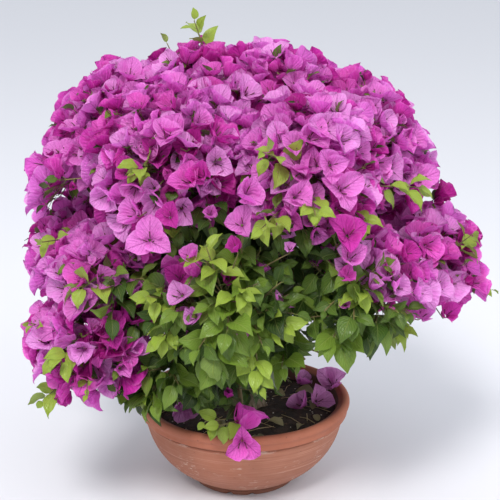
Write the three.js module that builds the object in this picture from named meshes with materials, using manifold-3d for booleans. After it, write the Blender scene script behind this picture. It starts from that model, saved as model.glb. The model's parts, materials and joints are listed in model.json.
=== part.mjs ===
// A potted bougainvillea: a low terracotta bowl of soil, a short gnarled trunk that forks into five stems,
// boughs that branch from the stems, and masses of papery bracts and leaves that make a wide round crown.
// Millimetres, +Z up, the bowl's foot on Z = 0 round the origin, and the side with the long tress at -Y, -X.
import * as THREE from "three";
import { mergeVertices } from "three/addons/utils/BufferGeometryUtils.js";
import Module from "manifold-3d";

const wasm = await Module();
wasm.setup();
const { Manifold, Mesh } = wasm;

// Driving sizes of the bowl
const RIM_RADIUS = 200;
const FOOT_RADIUS = 98;
const BOWL_HEIGHT = 162;
const WALL = 9;
const RIM_BAND = 30; // height of the thick band under the lip
const RIM_STEP = 9; // how far the band stands out of the wall
const FOOT_HEIGHT = 9;
const FOOT_EDGE = 2; // the foot's bevel
const BOWL_FLOOR = FOOT_HEIGHT + WALL - 4;
const LIP = { radius: 8.5, height: 9, from: -0.3, to: Math.PI * 0.8 };
const BOWL_SIDES = 36;

// How the walls' curves leave the foot (outwards and upwards) and how they reach the rim (inwards and downwards)
const OUTER_WALL = { out: 44, up: 22, inwards: 12, down: 62, points: 6 };
const INNER_WALL = { foot: 16, out: 34, up: 28, inwards: 5, down: 48, lip: 3, below: 6, points: 5 };

// Soil, with a low mound round the trunk
const SOIL_EDGE = 130; // height of the soil at the wall
const SOIL_TOP = 139; // height of the flat top of the mound
const MOUND_RADIUS = 62;
const MOUND_SLOPE = { edge: 26, foot: 40, rise: 3 };

// Trunk, stems and boughs
const TRUNK_FOOT = { x: 4, upright: 26 };
const FORK = new THREE.Vector3(-6, 6, 198);
const TRUNK_FLARE = 36;
const TRUNK_RADIUS = 24;
const TRUNK_TAPER = 3;
const ROOT_RIBS = 5;
const RIB_SHARE = 0.35; // how far the ribs stand out of the flare
const STEM_FOOT_RADIUS = 12.5;
const STEM_TIP_RADIUS = 5;
const STEM_SINK = 12; // how far below the fork the stems start
const STEM_APART = 6; // and how far from its middle
const BOUGH_FOOT_RADIUS = 5.5;
const BOUGH_TIP_RADIUS = 3.4;
const BOUGH_BEND = 0.45; // share of its length that a bough follows its stem
const ENTRY_DEPTH = 0.82; // a bough ends where it enters its mass, this deep in half sizes
const GAP = 0.35; // clearance between touching pieces

// Crown
const CROWN_HEART = new THREE.Vector3(6, 0, 440); // what the masses' outer sides face away from
const SPRAYS = { bloom: 44, leaf: 20 }; // evenly spread directions tried in a mass
const SPACING = { bloom: 80, leaf: 80 }; // least distance from twig tip to twig tip in a mass
const INNER_SIDE = -0.2; // how far round a mass its sprays go, 0 is half way and -1 all round
const SHELLS = [0.9, 0.9, 0.9, 0.62]; // how far out the twig tips lie, in turn, in half sizes
const SHELL_STEP = 0.04; // how much deeper each new attempt is
const ATTEMPTS = 12;
const SMALL_MASS = 60; // a mass with a half size below this has few sprays
const FULL_SIZE_FROM = 104; // bracts and leaves are smaller in masses with a half size below this
const LEAST_SCALE = 0.45;
const SPACE_MARGIN = 0.022; // share of a mass's size that is kept clear along its border
const SPACE_LIMIT = 1.16; // how far a mass's outermost leaves reach, in half sizes
const LIMB_CLEARANCE = 2;
const MERGE_SIZE = 0.25; // edges shorter than this are closed up after pieces are fused

// Twigs: a mass's stem ends near its middle, its leaders end at this share of its half sizes
const TWIG_RADIUS = 2.3;
const LEADER_REACH = 0.42;
const LEADER_BOW = 3;
const STEM_REACH = 0.9;
const SIDE_TWIG = { from: 0.8, thick: 0.8, thin: 0.62, bow: 2 };

// Flowers, whose bracts are larger than life, as each flower here stands for a few
const BRACT = 70;
const BRACT_VARIETY = 0.06;
const BRACT_RISE = 25; // degrees
const RISE_VARIETY = 7;
const FLOWER_HEART = 2.6; // half the thickness where three bracts join
const FLOWER_SEAT = 9; // how far from a flower's heart its twig is rooted
const CUP = 7; // how far the bracts' shoulders curl up
const LOBE_OUTLINE = [1, 0.8, 0.34, 0.8]; // reach of a bract's tip, shoulder, notch and next shoulder

// Leaves, which are larger than life too
const LEAF = 104;
const LEAF_SHAPE = { width: 0.68, widest: 0.42, cup: 5, droop: 6, thickness: 2.2 };
const SHOOT_LEAF_SHAPE = { width: 0.58, widest: 0.42, cup: 3, droop: 3, thickness: 1.4 };
const SHOOT_LEAF = 54;
const SPRAY_LEAVES = { count: 3, apart: 0.1, endTurn: 18, sideTurn: 62, turnVariety: 12, hang: 0.28 };
const SHOOT = { from: 0.9, bow: 10, apart: 0.1, open: 0.9, tip: 0.6 };

const COLOURS = {
  terracotta: { color: 0xb5714f, roughness: 0.82 },
  soil: { color: 0x2b211a, roughness: 0.98 },
  bark: { color: 0x7c6e5f, roughness: 0.92 },
  green_bark: { color: 0x6f6b45, roughness: 0.85 },
  bract: { color: 0xc03fb4, roughness: 0.62 },
  leaf: { color: 0x587d2d, roughness: 0.5 },
};

// The stems that rise from the fork. turn is measured round the trunk from the front, to the right.
const STEMS = {
  left: { turn: 262, reach: 165, rise: 215, bow: 34 },
  right: { turn: 84, reach: 160, rise: 205, bow: 30 },
  front: { turn: 352, reach: 118, rise: 160, bow: 24 },
  back: { turn: 176, reach: 150, rise: 190, bow: 28 },
  middle: { turn: 40, reach: 34, rise: 330, bow: 12 },
};

// The crown's tiers, from the top down: the height and ring radius of the masses' middles, how far the ring is
// moved to the right and raised at its right side, the masses' half sizes outwards, along the ring and upwards,
// where on which stem their boughs start (on the nearest stem where none is named), and each mass's turn in
// degrees round from the front.
const TIERS = [
  {
    tier: "top", height: 700, ring: 0, shift: -18, tilt: 0, half: [184, 184, 112], start: 1, stem: "middle",
    bloom: { crown: 0 },
  },
  {
    tier: "upper", height: 630, ring: 214, shift: -14, tilt: -8, half: [142, 146, 134], start: 0.74, stem: "middle",
    bloom: { front_right: 30, right: 90, back_right: 150, back_left: 210, left: 270, front_left: 330 },
  },
  {
    tier: "waist", height: 440, ring: 288, shift: 4, tilt: 0, half: [132, 138, 122], start: 0.93, stem: null,
    leaf: { front: -8, front_right: 37, back: 172 },
    bloom: { back_right: 126, back_left: 217, left: 262, front_left: 307 },
  },
  {
    tier: "low", height: 318, ring: 212, shift: -16, tilt: 52, half: [116, 138, 82], start: 0.5, stem: null,
    leaf: { front_right: 24, right: 84, back_right: 144, back_left: 204, left: 264, front_left: 324 },
  },
];

// Masses that hang out of the tiers, and long young shoots that reach past their mass.
const TRESSES = [
  { side: "tress_left", kind: "bloom", middle: [-250, -206, 352], half: [122, 114, 116], stem: "left", start: 0.66 },
  { side: "tress_right", kind: "bloom", middle: [326, -50, 430], half: [112, 128, 120], stem: "right", start: 0.9 },
  { side: "sprig_front", kind: "leaf", middle: [0, -232, 204], half: [52, 40, 68], stem: "front", start: 0.3 },
];
const SHOOTS = [
  { mass: "bloom_top_crown", tip: [-86, 6, 872], leaves: 5 },
  { mass: "bloom_tress_right", tip: [446, -40, 382], leaves: 5 },
  { mass: "bloom_tress_left", tip: [-322, -200, 238], leaves: 4 },
];

const UP = new THREE.Vector3(0, 0, 1);
const GOLDEN_ANGLE = Math.PI * (3 - Math.sqrt(5));

// The same number from 0 to 1 each time for the same seed.
function chance(seed) {
  const s = Math.sin(seed * 12.9898 + 4.1414) * 43758.5453;
  return s - Math.floor(s);
}

function spread(seed, width) {
  return (chance(seed) - 0.5) * 2 * width;
}

function outwards(turn) {
  const a = THREE.MathUtils.degToRad(turn);
  return new THREE.Vector3(Math.sin(a), -Math.cos(a), 0);
}

// Evenly spread directions, by the golden angle
function goldenDirection(k, count) {
  const z = 1 - (2 * k + 1) / count;
  const r = Math.sqrt(1 - z * z);
  return new THREE.Vector3(r * Math.cos(k * GOLDEN_ANGLE), r * Math.sin(k * GOLDEN_ANGLE), z);
}

function toSolid(geometry) {
  const g = geometry.clone();
  for (const name of Object.keys(g.attributes)) {
    if (name !== "position") g.deleteAttribute(name);
  }
  const merged = mergeVertices(g, 1e-3);
  const triVerts = new Uint32Array(merged.index.array);
  return new Manifold(new Mesh({ numProp: 3, vertProperties: merged.attributes.position.array, triVerts }));
}

function toGeometry(solid) {
  const mesh = solid.getMesh();
  const geometry = new THREE.BufferGeometry();
  geometry.setAttribute("position", new THREE.BufferAttribute(new Float32Array(mesh.vertProperties), 3));
  geometry.setIndex(new THREE.BufferAttribute(new Uint32Array(mesh.triVerts), 1));
  return geometry;
}

// The largest single body of a solid, so that no scrap is left loose
function largestBody(solid) {
  const bodies = solid.decompose();
  return bodies.reduce((best, body) => (body.volume() > best.volume() ? body : best));
}

// A tapering limb along a curve: a cylinder whose rings are moved onto the curve.
function limb(curve, radiusAt, sides, steps) {
  const geometry = new THREE.CylinderGeometry(1, 1, 1, sides, steps);
  const position = geometry.attributes.position;
  const frames = [];
  let across = new THREE.Vector3(0, 1, 0);
  for (let i = 0; i <= steps; i++) {
    const tangent = curve.getTangentAt(i / steps);
    across = across.clone().addScaledVector(tangent, -across.dot(tangent)).normalize();
    frames.push({ centre: curve.getPointAt(i / steps), across, along: tangent.clone().cross(across) });
  }
  const point = new THREE.Vector3();
  for (let v = 0; v < position.count; v++) {
    point.fromBufferAttribute(position, v);
    const step = Math.round((point.y + 0.5) * steps);
    const frame = frames[step];
    const radius = radiusAt(step / steps, Math.atan2(point.z, point.x));
    const moved = frame.centre.clone()
      .addScaledVector(frame.across, point.x * radius)
      .addScaledVector(frame.along, -point.z * radius);
    position.setXYZ(v, moved.x, moved.y, moved.z);
  }
  return geometry;
}

function taper(foot, tip) {
  return (t) => THREE.MathUtils.lerp(foot, tip, t);
}

// An eight-sided blade: an octahedron drawn out to a leaf's outline, with its edges cupped up and its tip
// bent down. It starts at the base, points along direction and its upper face looks along face. The shape
// gives its width and widest place as shares of the length.
function blade(base, direction, face, length, shape) {
  const along = direction.clone().normalize();
  const side = face.clone().cross(along).normalize();
  const normal = along.clone().cross(side).normalize();
  const geometry = new THREE.OctahedronGeometry(1);
  const position = geometry.attributes.position;
  for (let v = 0; v < position.count; v++) {
    const x = Math.round(position.getX(v)); // 1 at the tip, -1 at the base and 0 between them
    const y = position.getY(v);
    const z = position.getZ(v);
    const forward = length * (x === 0 ? shape.widest : Math.max(x, 0));
    const sideways = ((length * shape.width) / 2) * y;
    const lift = shape.cup * Math.abs(y) - shape.droop * Math.max(0, x) + (shape.thickness / 2) * z;
    const moved = base.clone()
      .addScaledVector(along, forward)
      .addScaledVector(side, sideways)
      .addScaledVector(normal, lift);
    position.setXYZ(v, moved.x, moved.y, moved.z);
  }
  return geometry;
}

// Three bracts that flare round one axis and join at their foot, as a bougainvillea flower's do: a flat sphere
// of twelve corners, where every fourth is a tip, every fourth a notch and the rest are the bracts' shoulders.
function bractFlower(tip, axis, seed, scale) {
  const corners = 3 * LOBE_OUTLINE.length;
  const geometry = new THREE.SphereGeometry(1, corners, 2);
  const frame = new THREE.Quaternion().setFromUnitVectors(UP, axis);
  const rise = Math.tan(THREE.MathUtils.degToRad(BRACT_RISE + spread(seed, RISE_VARIETY)));
  const turned = chance(seed + 0.5) * Math.PI;
  const place = (a, reach, lift) => new THREE.Vector3(Math.cos(a) * reach, -Math.sin(a) * reach, lift)
    .applyQuaternion(frame)
    .add(tip);
  const position = geometry.attributes.position;
  for (let v = 0; v < position.count; v++) {
    const point = new THREE.Vector3().fromBufferAttribute(position, v);
    const a = Math.atan2(point.z, point.x);
    const corner = (Math.round((a * corners) / (2 * Math.PI)) + corners) % corners;
    const pole = Math.abs(point.y) > 0.5;
    const full = scale * BRACT * LOBE_OUTLINE[corner % LOBE_OUTLINE.length];
    const reach = pole ? 0 : full * (1 + spread(seed + corner, BRACT_VARIETY));
    const lift = pole ? point.y * FLOWER_HEART : reach * rise + (corner % 2 ? CUP : 0);
    const moved = place(a + turned, reach, lift);
    position.setXYZ(v, moved.x, moved.y, moved.z);
  }
  const seat = place(turned + Math.PI / corners, FLOWER_SEAT, FLOWER_SEAT * rise);
  return { geometry, seat };
}

// Leaves that alternate up the end of a twig and hang a little.
function leafSpray(line, axis, seed, scale) {
  const { count, apart, endTurn, sideTurn, turnVariety, hang } = SPRAY_LEAVES;
  const frame = new THREE.Quaternion().setFromUnitVectors(UP, axis);
  return Array.from({ length: count }, (_, k) => {
    const a = k * GOLDEN_ANGLE + chance(seed) * 6;
    const open = THREE.MathUtils.degToRad(k === 0 ? endTurn : sideTurn + spread(seed + k, turnVariety));
    const direction = new THREE.Vector3(Math.sin(open) * Math.cos(a), Math.sin(open) * Math.sin(a), Math.cos(open))
      .applyQuaternion(frame)
      .addScaledVector(UP, -hang)
      .normalize();
    const root = line.getPointAt(1 - apart * Math.max(k, 1)).addScaledVector(direction, -1);
    const face = UP.clone().addScaledVector(axis, 0.6);
    const length = scale * LEAF * (0.86 + 0.28 * chance(seed + k * 1.7));
    return blade(root, direction, face, length, LEAF_SHAPE);
  });
}

// Each mass keeps to its own part of the crown: inside its half sizes, and nearer to its middle than to any
// other mass's, counted in half sizes.
function depthIn(mass, point) {
  const d = point.clone().sub(mass.middle);
  return Math.hypot(...mass.axes.map((axis, k) => d.dot(axis) / mass.half[k]));
}

function inSpace(mass, point, limit = SPACE_LIMIT) {
  const own = depthIn(mass, point);
  return own < limit && masses.every((other) => other === mass || own + SPACE_MARGIN < depthIn(other, point));
}

function clearOfLimbs(mass, point) {
  return mass.nearLimbs.every(({ at, radius }) => at.distanceTo(point) > radius + LIMB_CLEARANCE);
}

// Points over a blade or twig: its corners and the places between them
function samplesOf(geometry) {
  const loose = geometry.index ? geometry.toNonIndexed() : geometry;
  const position = loose.attributes.position;
  const corners = [];
  for (let v = 0; v < position.count; v += 3) {
    const [a, b, c] = [0, 1, 2].map((k) => new THREE.Vector3().fromBufferAttribute(position, v + k));
    corners.push(a, b, c, a.clone().lerp(b, 0.5), b.clone().lerp(c, 0.5), c.clone().lerp(a, 0.5));
  }
  return corners;
}

function fits(mass, geometry) {
  return samplesOf(geometry).every((p) => inSpace(mass, p) && clearOfLimbs(mass, p));
}

function twigLine(from, to, bow) {
  const middle = from.clone().lerp(to, 0.5).addScaledVector(UP, bow);
  return new THREE.QuadraticBezierCurve3(from, middle, to);
}

// One twig with its flower or leaves, at the greatest depth and the first tilt where it fits its mass's space.
function growSpray(mass, k, leaders) {
  const direction = goldenDirection(k, mass.sprays);
  if (direction.dot(mass.facing) < INNER_SIDE) return [];
  for (let attempt = 0; attempt < ATTEMPTS; attempt++) {
    const seed = mass.seed + k * 3.1 + attempt * 0.37;
    const depth = SHELLS[k % SHELLS.length] - SHELL_STEP * attempt;
    const tip = mass.middle.clone().addScaledVector(mass.scaled(direction), depth);
    if (mass.tips.some((other) => other.distanceTo(tip) < mass.spacing)) continue;
    const axis = direction.clone()
      .addScaledVector(mass.facing, 0.5)
      .addScaledVector(UP, 0.35)
      .add(new THREE.Vector3(spread(seed, 0.4), spread(seed + 1, 0.4), spread(seed + 2, 0.2)))
      .normalize();
    const leader = leaders.reduce((best, l) => (l.end.distanceTo(tip) < best.end.distanceTo(tip) ? l : best));
    const flower = mass.kind === "bloom" ? bractFlower(tip, axis, seed, mass.scale) : null;
    const line = twigLine(leader.line.getPointAt(SIDE_TWIG.from), flower ? flower.seat : tip, SIDE_TWIG.bow);
    const twig = limb(line, taper(TWIG_RADIUS * SIDE_TWIG.thick, TWIG_RADIUS * SIDE_TWIG.thin), 3, 1);
    if (!fits(mass, twig)) continue;
    const blades = flower ? [flower.geometry] : leafSpray(line, axis, seed, mass.scale);
    const kept = blades.filter((b) => fits(mass, b));
    if (kept.length < (flower ? 1 : 2)) continue;
    mass.tips.push(tip);
    return [twig, ...kept];
  }
  return [];
}

// A long young shoot from the end of a leader, with small leaves along its outer part
function growShoot(leader, shoot) {
  const line = twigLine(leader.line.getPointAt(SHOOT.from), new THREE.Vector3(...shoot.tip), SHOOT.bow);
  const leaves = Array.from({ length: shoot.leaves }, (_, k) => {
    const at = 1 - SHOOT.apart * k;
    const away = outwards(THREE.MathUtils.radToDeg(k * GOLDEN_ANGLE));
    const direction = line.getTangentAt(at).addScaledVector(away, SHOOT.open).normalize();
    const root = line.getPointAt(at).addScaledVector(direction, -2);
    return blade(root, direction, UP, SHOOT_LEAF, SHOOT_LEAF_SHAPE);
  });
  return [limb(line, taper(TWIG_RADIUS, TWIG_RADIUS * SHOOT.tip), 3, 3), ...leaves];
}

// The twigs, bracts and leaves of one mass, all grown from one stem that starts at its bough's tip.
function growMass(mass) {
  const stemEnd = mass.root.clone().lerp(mass.middle, STEM_REACH);
  const leaving = mass.root.clone().addScaledVector(mass.heading, 0.4 * mass.root.distanceTo(stemEnd));
  const stem = new THREE.QuadraticBezierCurve3(mass.root, leaving, stemEnd);
  const pieces = [limb(stem, taper(BOUGH_TIP_RADIUS, TWIG_RADIUS), 5, 2)];
  const leaders = [{ line: stem, end: stemEnd }];
  for (let k = 0; k < mass.leaders; k++) {
    const direction = goldenDirection(k, mass.leaders);
    if (direction.dot(mass.facing) < INNER_SIDE) continue;
    const end = mass.middle.clone().addScaledVector(mass.scaled(direction), LEADER_REACH);
    const line = twigLine(stem.getPointAt(0.55 + 0.4 * chance(mass.seed + k)), end, LEADER_BOW);
    const leader = limb(line, taper(TWIG_RADIUS, TWIG_RADIUS * SIDE_TWIG.thick), 3, 1);
    if (!fits(mass, leader)) continue;
    leaders.push({ line, end });
    pieces.push(leader);
  }
  for (let k = 0; k < mass.sprays; k++) pieces.push(...growSpray(mass, k, leaders));
  for (const shoot of SHOOTS.filter((s) => s.mass === mass.name)) {
    pieces.push(...growShoot(leaders[leaders.length - 1], shoot));
  }
  const near = limbs.filter(({ samples }) => samples.some((sample) => mass.nearLimbs.includes(sample)));
  const grown = Manifold.union(pieces.map(toSolid));
  return largestBody(near.reduce((solid, other) => solid.subtract(other.grown), grown)).simplify(MERGE_SIZE);
}

function nearestStem(turn) {
  const gap = (a, b) => Math.abs(((a - b + 540) % 360) - 180);
  return Object.keys(STEMS)
    .filter((name) => name !== "middle")
    .reduce((best, name) => (gap(STEMS[name].turn, turn) < gap(STEMS[best].turn, turn) ? name : best));
}

// A mass's own directions: outwards, along the ring and up. facing is the side that it shows.
function describeMass({ side, kind, middle, half, stem, start }, turn, seed) {
  const axes = [outwards(turn), outwards(turn + 90), UP];
  const facing = middle.clone().sub(CROWN_HEART).normalize();
  const scaled = (direction) => axes.reduce(
    (sum, axis, k) => sum.addScaledVector(axis, direction.dot(axis) * half[k]),
    new THREE.Vector3(),
  );
  const smallest = Math.min(...half);
  const scale = THREE.MathUtils.clamp(smallest / FULL_SIZE_FROM, LEAST_SCALE, 1);
  return {
    name: `${kind}_${side}`, bough: `bough_${side}`, kind, middle, half, axes, facing, scaled, seed, scale,
    stem: stem ?? nearestStem(turn),
    start,
    leaders: smallest > SMALL_MASS ? 6 : 3,
    sprays: smallest > SMALL_MASS ? SPRAYS[kind] : 9,
    spacing: scale * SPACING[kind],
    tips: [],
  };
}

function crownMasses() {
  const found = [];
  for (const tier of TIERS) {
    for (const kind of ["leaf", "bloom"]) {
      for (const [name, turn] of Object.entries(tier[kind] ?? {})) {
        const side = `${tier.tier}_${name}`;
        const middle = outwards(turn).multiplyScalar(tier.ring);
        const height = tier.height + tier.tilt * outwards(turn).x;
        middle.add(new THREE.Vector3(CROWN_HEART.x + tier.shift, CROWN_HEART.y, height));
        found.push(describeMass({ ...tier, side, kind, middle }, turn, 11 * (found.length + 1)));
      }
    }
  }
  for (const tress of TRESSES) {
    found.push(describeMass({ ...tress, middle: new THREE.Vector3(...tress.middle) }, 90, 11 * (found.length + 1)));
  }
  return found;
}

function entryOf(mass, from) {
  const steps = 60;
  for (let i = 0; i < steps; i++) {
    const point = from.clone().lerp(mass.middle, i / steps);
    if (inSpace(mass, point, ENTRY_DEPTH)) return point;
  }
  return mass.middle.clone();
}

// A profile of radius and height turned round Z
function turned(profile) {
  return new THREE.LatheGeometry(profile, BOWL_SIDES).rotateX(Math.PI / 2);
}

// The bowl's inner wall, from the floor up to the lip. It is drawn in by the given clearance for the soil.
function innerWall(clearance) {
  const { foot, out, up, inwards, down, lip, below, points } = INNER_WALL;
  const inner = RIM_RADIUS - 2 * WALL - lip;
  const p = (r, z) => new THREE.Vector2(r - clearance, z);
  const wall = new THREE.CubicBezierCurve(
    p(FOOT_RADIUS - foot, BOWL_FLOOR),
    p(FOOT_RADIUS + out, FOOT_HEIGHT + up),
    p(inner - inwards, BOWL_HEIGHT - below - RIM_BAND - down),
    p(inner, BOWL_HEIGHT - below),
  );
  return wall.getPoints(points);
}

// The bowl: foot, round wall, stepped band and rolled lip, then the inner wall and floor.
function bowl() {
  const { out, up, inwards, down, points } = OUTER_WALL;
  const p = (r, z) => new THREE.Vector2(r, z);
  const bandFoot = BOWL_HEIGHT - RIM_BAND;
  const outer = new THREE.CubicBezierCurve(
    p(FOOT_RADIUS - FOOT_EDGE, FOOT_HEIGHT),
    p(FOOT_RADIUS + out, FOOT_HEIGHT + up),
    p(RIM_RADIUS - RIM_STEP - inwards, bandFoot - down),
    p(RIM_RADIUS - RIM_STEP - 4, bandFoot),
  );
  const lip = new THREE.EllipseCurve(
    RIM_RADIUS - LIP.radius, BOWL_HEIGHT - LIP.height, LIP.radius, LIP.height, LIP.from, LIP.to,
  );
  const profile = [
    p(0, 0),
    p(FOOT_RADIUS - FOOT_EDGE, 0),
    p(FOOT_RADIUS, FOOT_EDGE),
    p(FOOT_RADIUS, FOOT_HEIGHT - FOOT_EDGE),
    ...outer.getPoints(points),
    p(RIM_RADIUS - 5, bandFoot + 3),
    ...lip.getPoints(4),
    ...innerWall(0).reverse(),
    p(0, BOWL_FLOOR),
  ];
  return toSolid(turned(profile));
}

// The soil fills the bowl up to a low mound with a flat top that the trunk stands on.
function soil() {
  const wall = innerWall(GAP * 1.3);
  const above = wall.findIndex(({ y }) => y > SOIL_EDGE);
  const below = wall[above - 1];
  const edge = below.clone().lerp(wall[above], (SOIL_EDGE - below.y) / (wall[above].y - below.y));
  const floor = new THREE.Vector2(wall[0].x, wall[0].y + GAP);
  const profile = [
    new THREE.Vector2(0, floor.y),
    floor,
    ...wall.slice(1, above),
    edge,
    new THREE.Vector2(edge.x - MOUND_SLOPE.edge, SOIL_EDGE + MOUND_SLOPE.rise),
    new THREE.Vector2(MOUND_RADIUS + MOUND_SLOPE.foot, SOIL_TOP - MOUND_SLOPE.rise),
    new THREE.Vector2(MOUND_RADIUS, SOIL_TOP),
    new THREE.Vector2(0, SOIL_TOP),
  ];
  return toSolid(turned(profile));
}

const group = new THREE.Group();

function addPiece(name, solid, look) {
  const material = new THREE.MeshStandardMaterial({ ...COLOURS[look], metalness: 0 });
  const mesh = new THREE.Mesh(toGeometry(solid), material);
  mesh.name = name;
  group.add(mesh);
}

addPiece("terracotta_bowl", bowl(), "terracotta");
addPiece("soil", soil(), "soil");

// Limbs already built, each as its solid grown by the gap and as points along it.
const limbs = [];

function addLimb(name, curve, radiusAt, sides, steps, look) {
  let solid = toSolid(limb(curve, radiusAt, sides, steps));
  for (const other of limbs) solid = solid.subtract(other.grown);
  const grown = toSolid(limb(curve, (t, a) => radiusAt(t, a) + GAP, sides, steps));
  const samples = Array.from({ length: 25 }, (_, i) => ({
    at: curve.getPointAt(i / 24),
    radius: radiusAt(i / 24, 0),
  }));
  limbs.push({ name, grown, samples, curve });
  addPiece(name, largestBody(solid).simplify(0.02), look);
}

// The trunk flares into root ribs at the soil and leans a little before it forks.
const trunkFoot = new THREE.Vector3(TRUNK_FOOT.x, 0, SOIL_TOP + GAP);
const trunkCurve = new THREE.QuadraticBezierCurve3(
  trunkFoot,
  trunkFoot.clone().addScaledVector(UP, TRUNK_FOOT.upright),
  FORK,
);
addLimb(
  "trunk",
  trunkCurve,
  (t, a) => {
    const flare = (TRUNK_FLARE - TRUNK_RADIUS) * (1 - t) ** 3;
    return TRUNK_RADIUS - TRUNK_TAPER * t + flare * (1 + RIB_SHARE * Math.cos(a * ROOT_RIBS));
  },
  20, 5, "bark",
);

function stemCurve({ turn, reach, rise, bow }) {
  const away = outwards(turn);
  const foot = FORK.clone().addScaledVector(UP, -STEM_SINK).addScaledVector(away, STEM_APART);
  const tip = FORK.clone().addScaledVector(away, reach).addScaledVector(UP, rise);
  const middle = foot.clone().lerp(tip, 0.5).addScaledVector(away, bow * 0.6).addScaledVector(UP, -bow * 0.4);
  return new THREE.QuadraticBezierCurve3(foot, middle, tip);
}

const masses = crownMasses();

for (const [name, stem] of Object.entries(STEMS)) {
  stem.curve = stemCurve(stem);
  addLimb(`stem_${name}`, stem.curve, taper(STEM_FOOT_RADIUS, STEM_TIP_RADIUS), 8, 4, "bark");
}

// Each mass has its own bough, which leaves its stem low and bends out to where the mass begins.
masses.forEach((mass, k) => {
  const stem = STEMS[mass.stem].curve;
  const at = Math.min(0.97, mass.start + spread(k * 2.3, 0.07));
  const foot = stem.getPointAt(at);
  const tip = entryOf(mass, foot);
  const leaving = stem.getTangentAt(at).multiplyScalar(foot.distanceTo(tip) * BOUGH_BEND);
  const curve = new THREE.QuadraticBezierCurve3(foot, foot.clone().add(leaving), tip);
  addLimb(mass.bough, curve, taper(BOUGH_FOOT_RADIUS, BOUGH_TIP_RADIUS), 5, 3, "green_bark");
  mass.heading = curve.getTangentAt(1);
  mass.root = tip.clone().addScaledVector(mass.heading, GAP);
});

for (const mass of masses) {
  const reach = Math.max(...mass.half) * SPACE_LIMIT + LEAF;
  mass.nearLimbs = limbs.flatMap(({ samples }) => samples).filter(({ at }) => at.distanceTo(mass.middle) < reach);
  addPiece(mass.name, growMass(mass), mass.kind === "bloom" ? "bract" : "leaf");
}

export default group;
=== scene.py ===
import json
import math

import bmesh
import bpy
import numpy as np
from mathutils import Matrix, Vector, noise

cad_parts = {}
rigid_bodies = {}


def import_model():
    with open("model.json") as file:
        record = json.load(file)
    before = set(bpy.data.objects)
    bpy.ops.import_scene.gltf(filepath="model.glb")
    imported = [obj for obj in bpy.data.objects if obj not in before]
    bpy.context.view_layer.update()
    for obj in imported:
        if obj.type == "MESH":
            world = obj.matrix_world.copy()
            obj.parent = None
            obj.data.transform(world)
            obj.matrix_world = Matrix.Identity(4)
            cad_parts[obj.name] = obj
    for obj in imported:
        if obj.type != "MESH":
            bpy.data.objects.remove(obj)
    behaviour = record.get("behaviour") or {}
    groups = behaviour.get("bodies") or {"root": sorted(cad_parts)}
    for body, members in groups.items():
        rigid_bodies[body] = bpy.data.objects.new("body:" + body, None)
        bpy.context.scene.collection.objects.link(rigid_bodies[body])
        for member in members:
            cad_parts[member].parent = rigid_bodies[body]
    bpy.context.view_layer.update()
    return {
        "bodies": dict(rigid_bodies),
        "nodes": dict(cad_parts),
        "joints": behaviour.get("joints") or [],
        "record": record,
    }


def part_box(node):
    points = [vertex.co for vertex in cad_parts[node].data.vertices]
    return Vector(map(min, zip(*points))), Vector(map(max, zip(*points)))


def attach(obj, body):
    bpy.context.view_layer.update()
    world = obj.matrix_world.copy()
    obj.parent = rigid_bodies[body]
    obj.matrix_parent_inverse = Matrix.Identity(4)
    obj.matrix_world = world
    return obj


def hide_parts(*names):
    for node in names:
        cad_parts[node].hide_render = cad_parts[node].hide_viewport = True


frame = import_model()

chanceStream = np.random.default_rng(23)
up = np.array([0.0, 0.0, 1.0])
goldenAngle = math.pi * (3 - math.sqrt(5))


# Small helpers for numbers

# The same number from 0 to 1 each time for the same seed
def chance(seed):
    s = math.sin(seed * 12.9898 + 4.1414) * 43758.5453
    return s - math.floor(s)


def spread(seed, width):
    return (chance(seed) - 0.5) * 2 * width


def unit(vectors):
    return vectors / np.linalg.norm(vectors, axis=-1, keepdims=True)


def jitter(width, count=None):
    return chanceStream.uniform(-width, width, count)


# The direction at that turn round the trunk, from the front to the right
def outwards(turn):
    a = math.radians(turn)
    return np.array([math.sin(a), -math.cos(a), 0.0])


# Evenly spread directions, by the golden angle
def goldenDirection(k, count):
    z = 1 - (2 * k + 1) / count
    r = math.sqrt(1 - z * z)
    return np.array([r * math.cos(k * goldenAngle), r * math.sin(k * goldenAngle), z])


# An sRGB colour of three numbers up to 255, as Blender's linear one
def tint(colour):
    shares = [c / 255 for c in colour]
    return tuple(s / 12.92 if s < 0.04045 else ((s + 0.055) / 1.055) ** 2.4 for s in shares) + (1.0,)


# Shader maths

# A socket that can stand in a sum: each operator adds a Math node
class Wire:
    def __init__(self, paint, socket):
        self.paint = paint
        self.socket = socket

    def sum(self, operation, first, second):
        return self.paint.add("ShaderNodeMath", {"operation": operation}, {0: first, 1: second})

    def __add__(self, other):
        return self.sum("ADD", self, other)

    def __sub__(self, other):
        return self.sum("SUBTRACT", self, other)

    def __rsub__(self, other):
        return self.sum("SUBTRACT", other, self)

    def __mul__(self, other):
        return self.sum("MULTIPLY", self, other)

    __radd__ = __add__
    __rmul__ = __mul__


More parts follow.
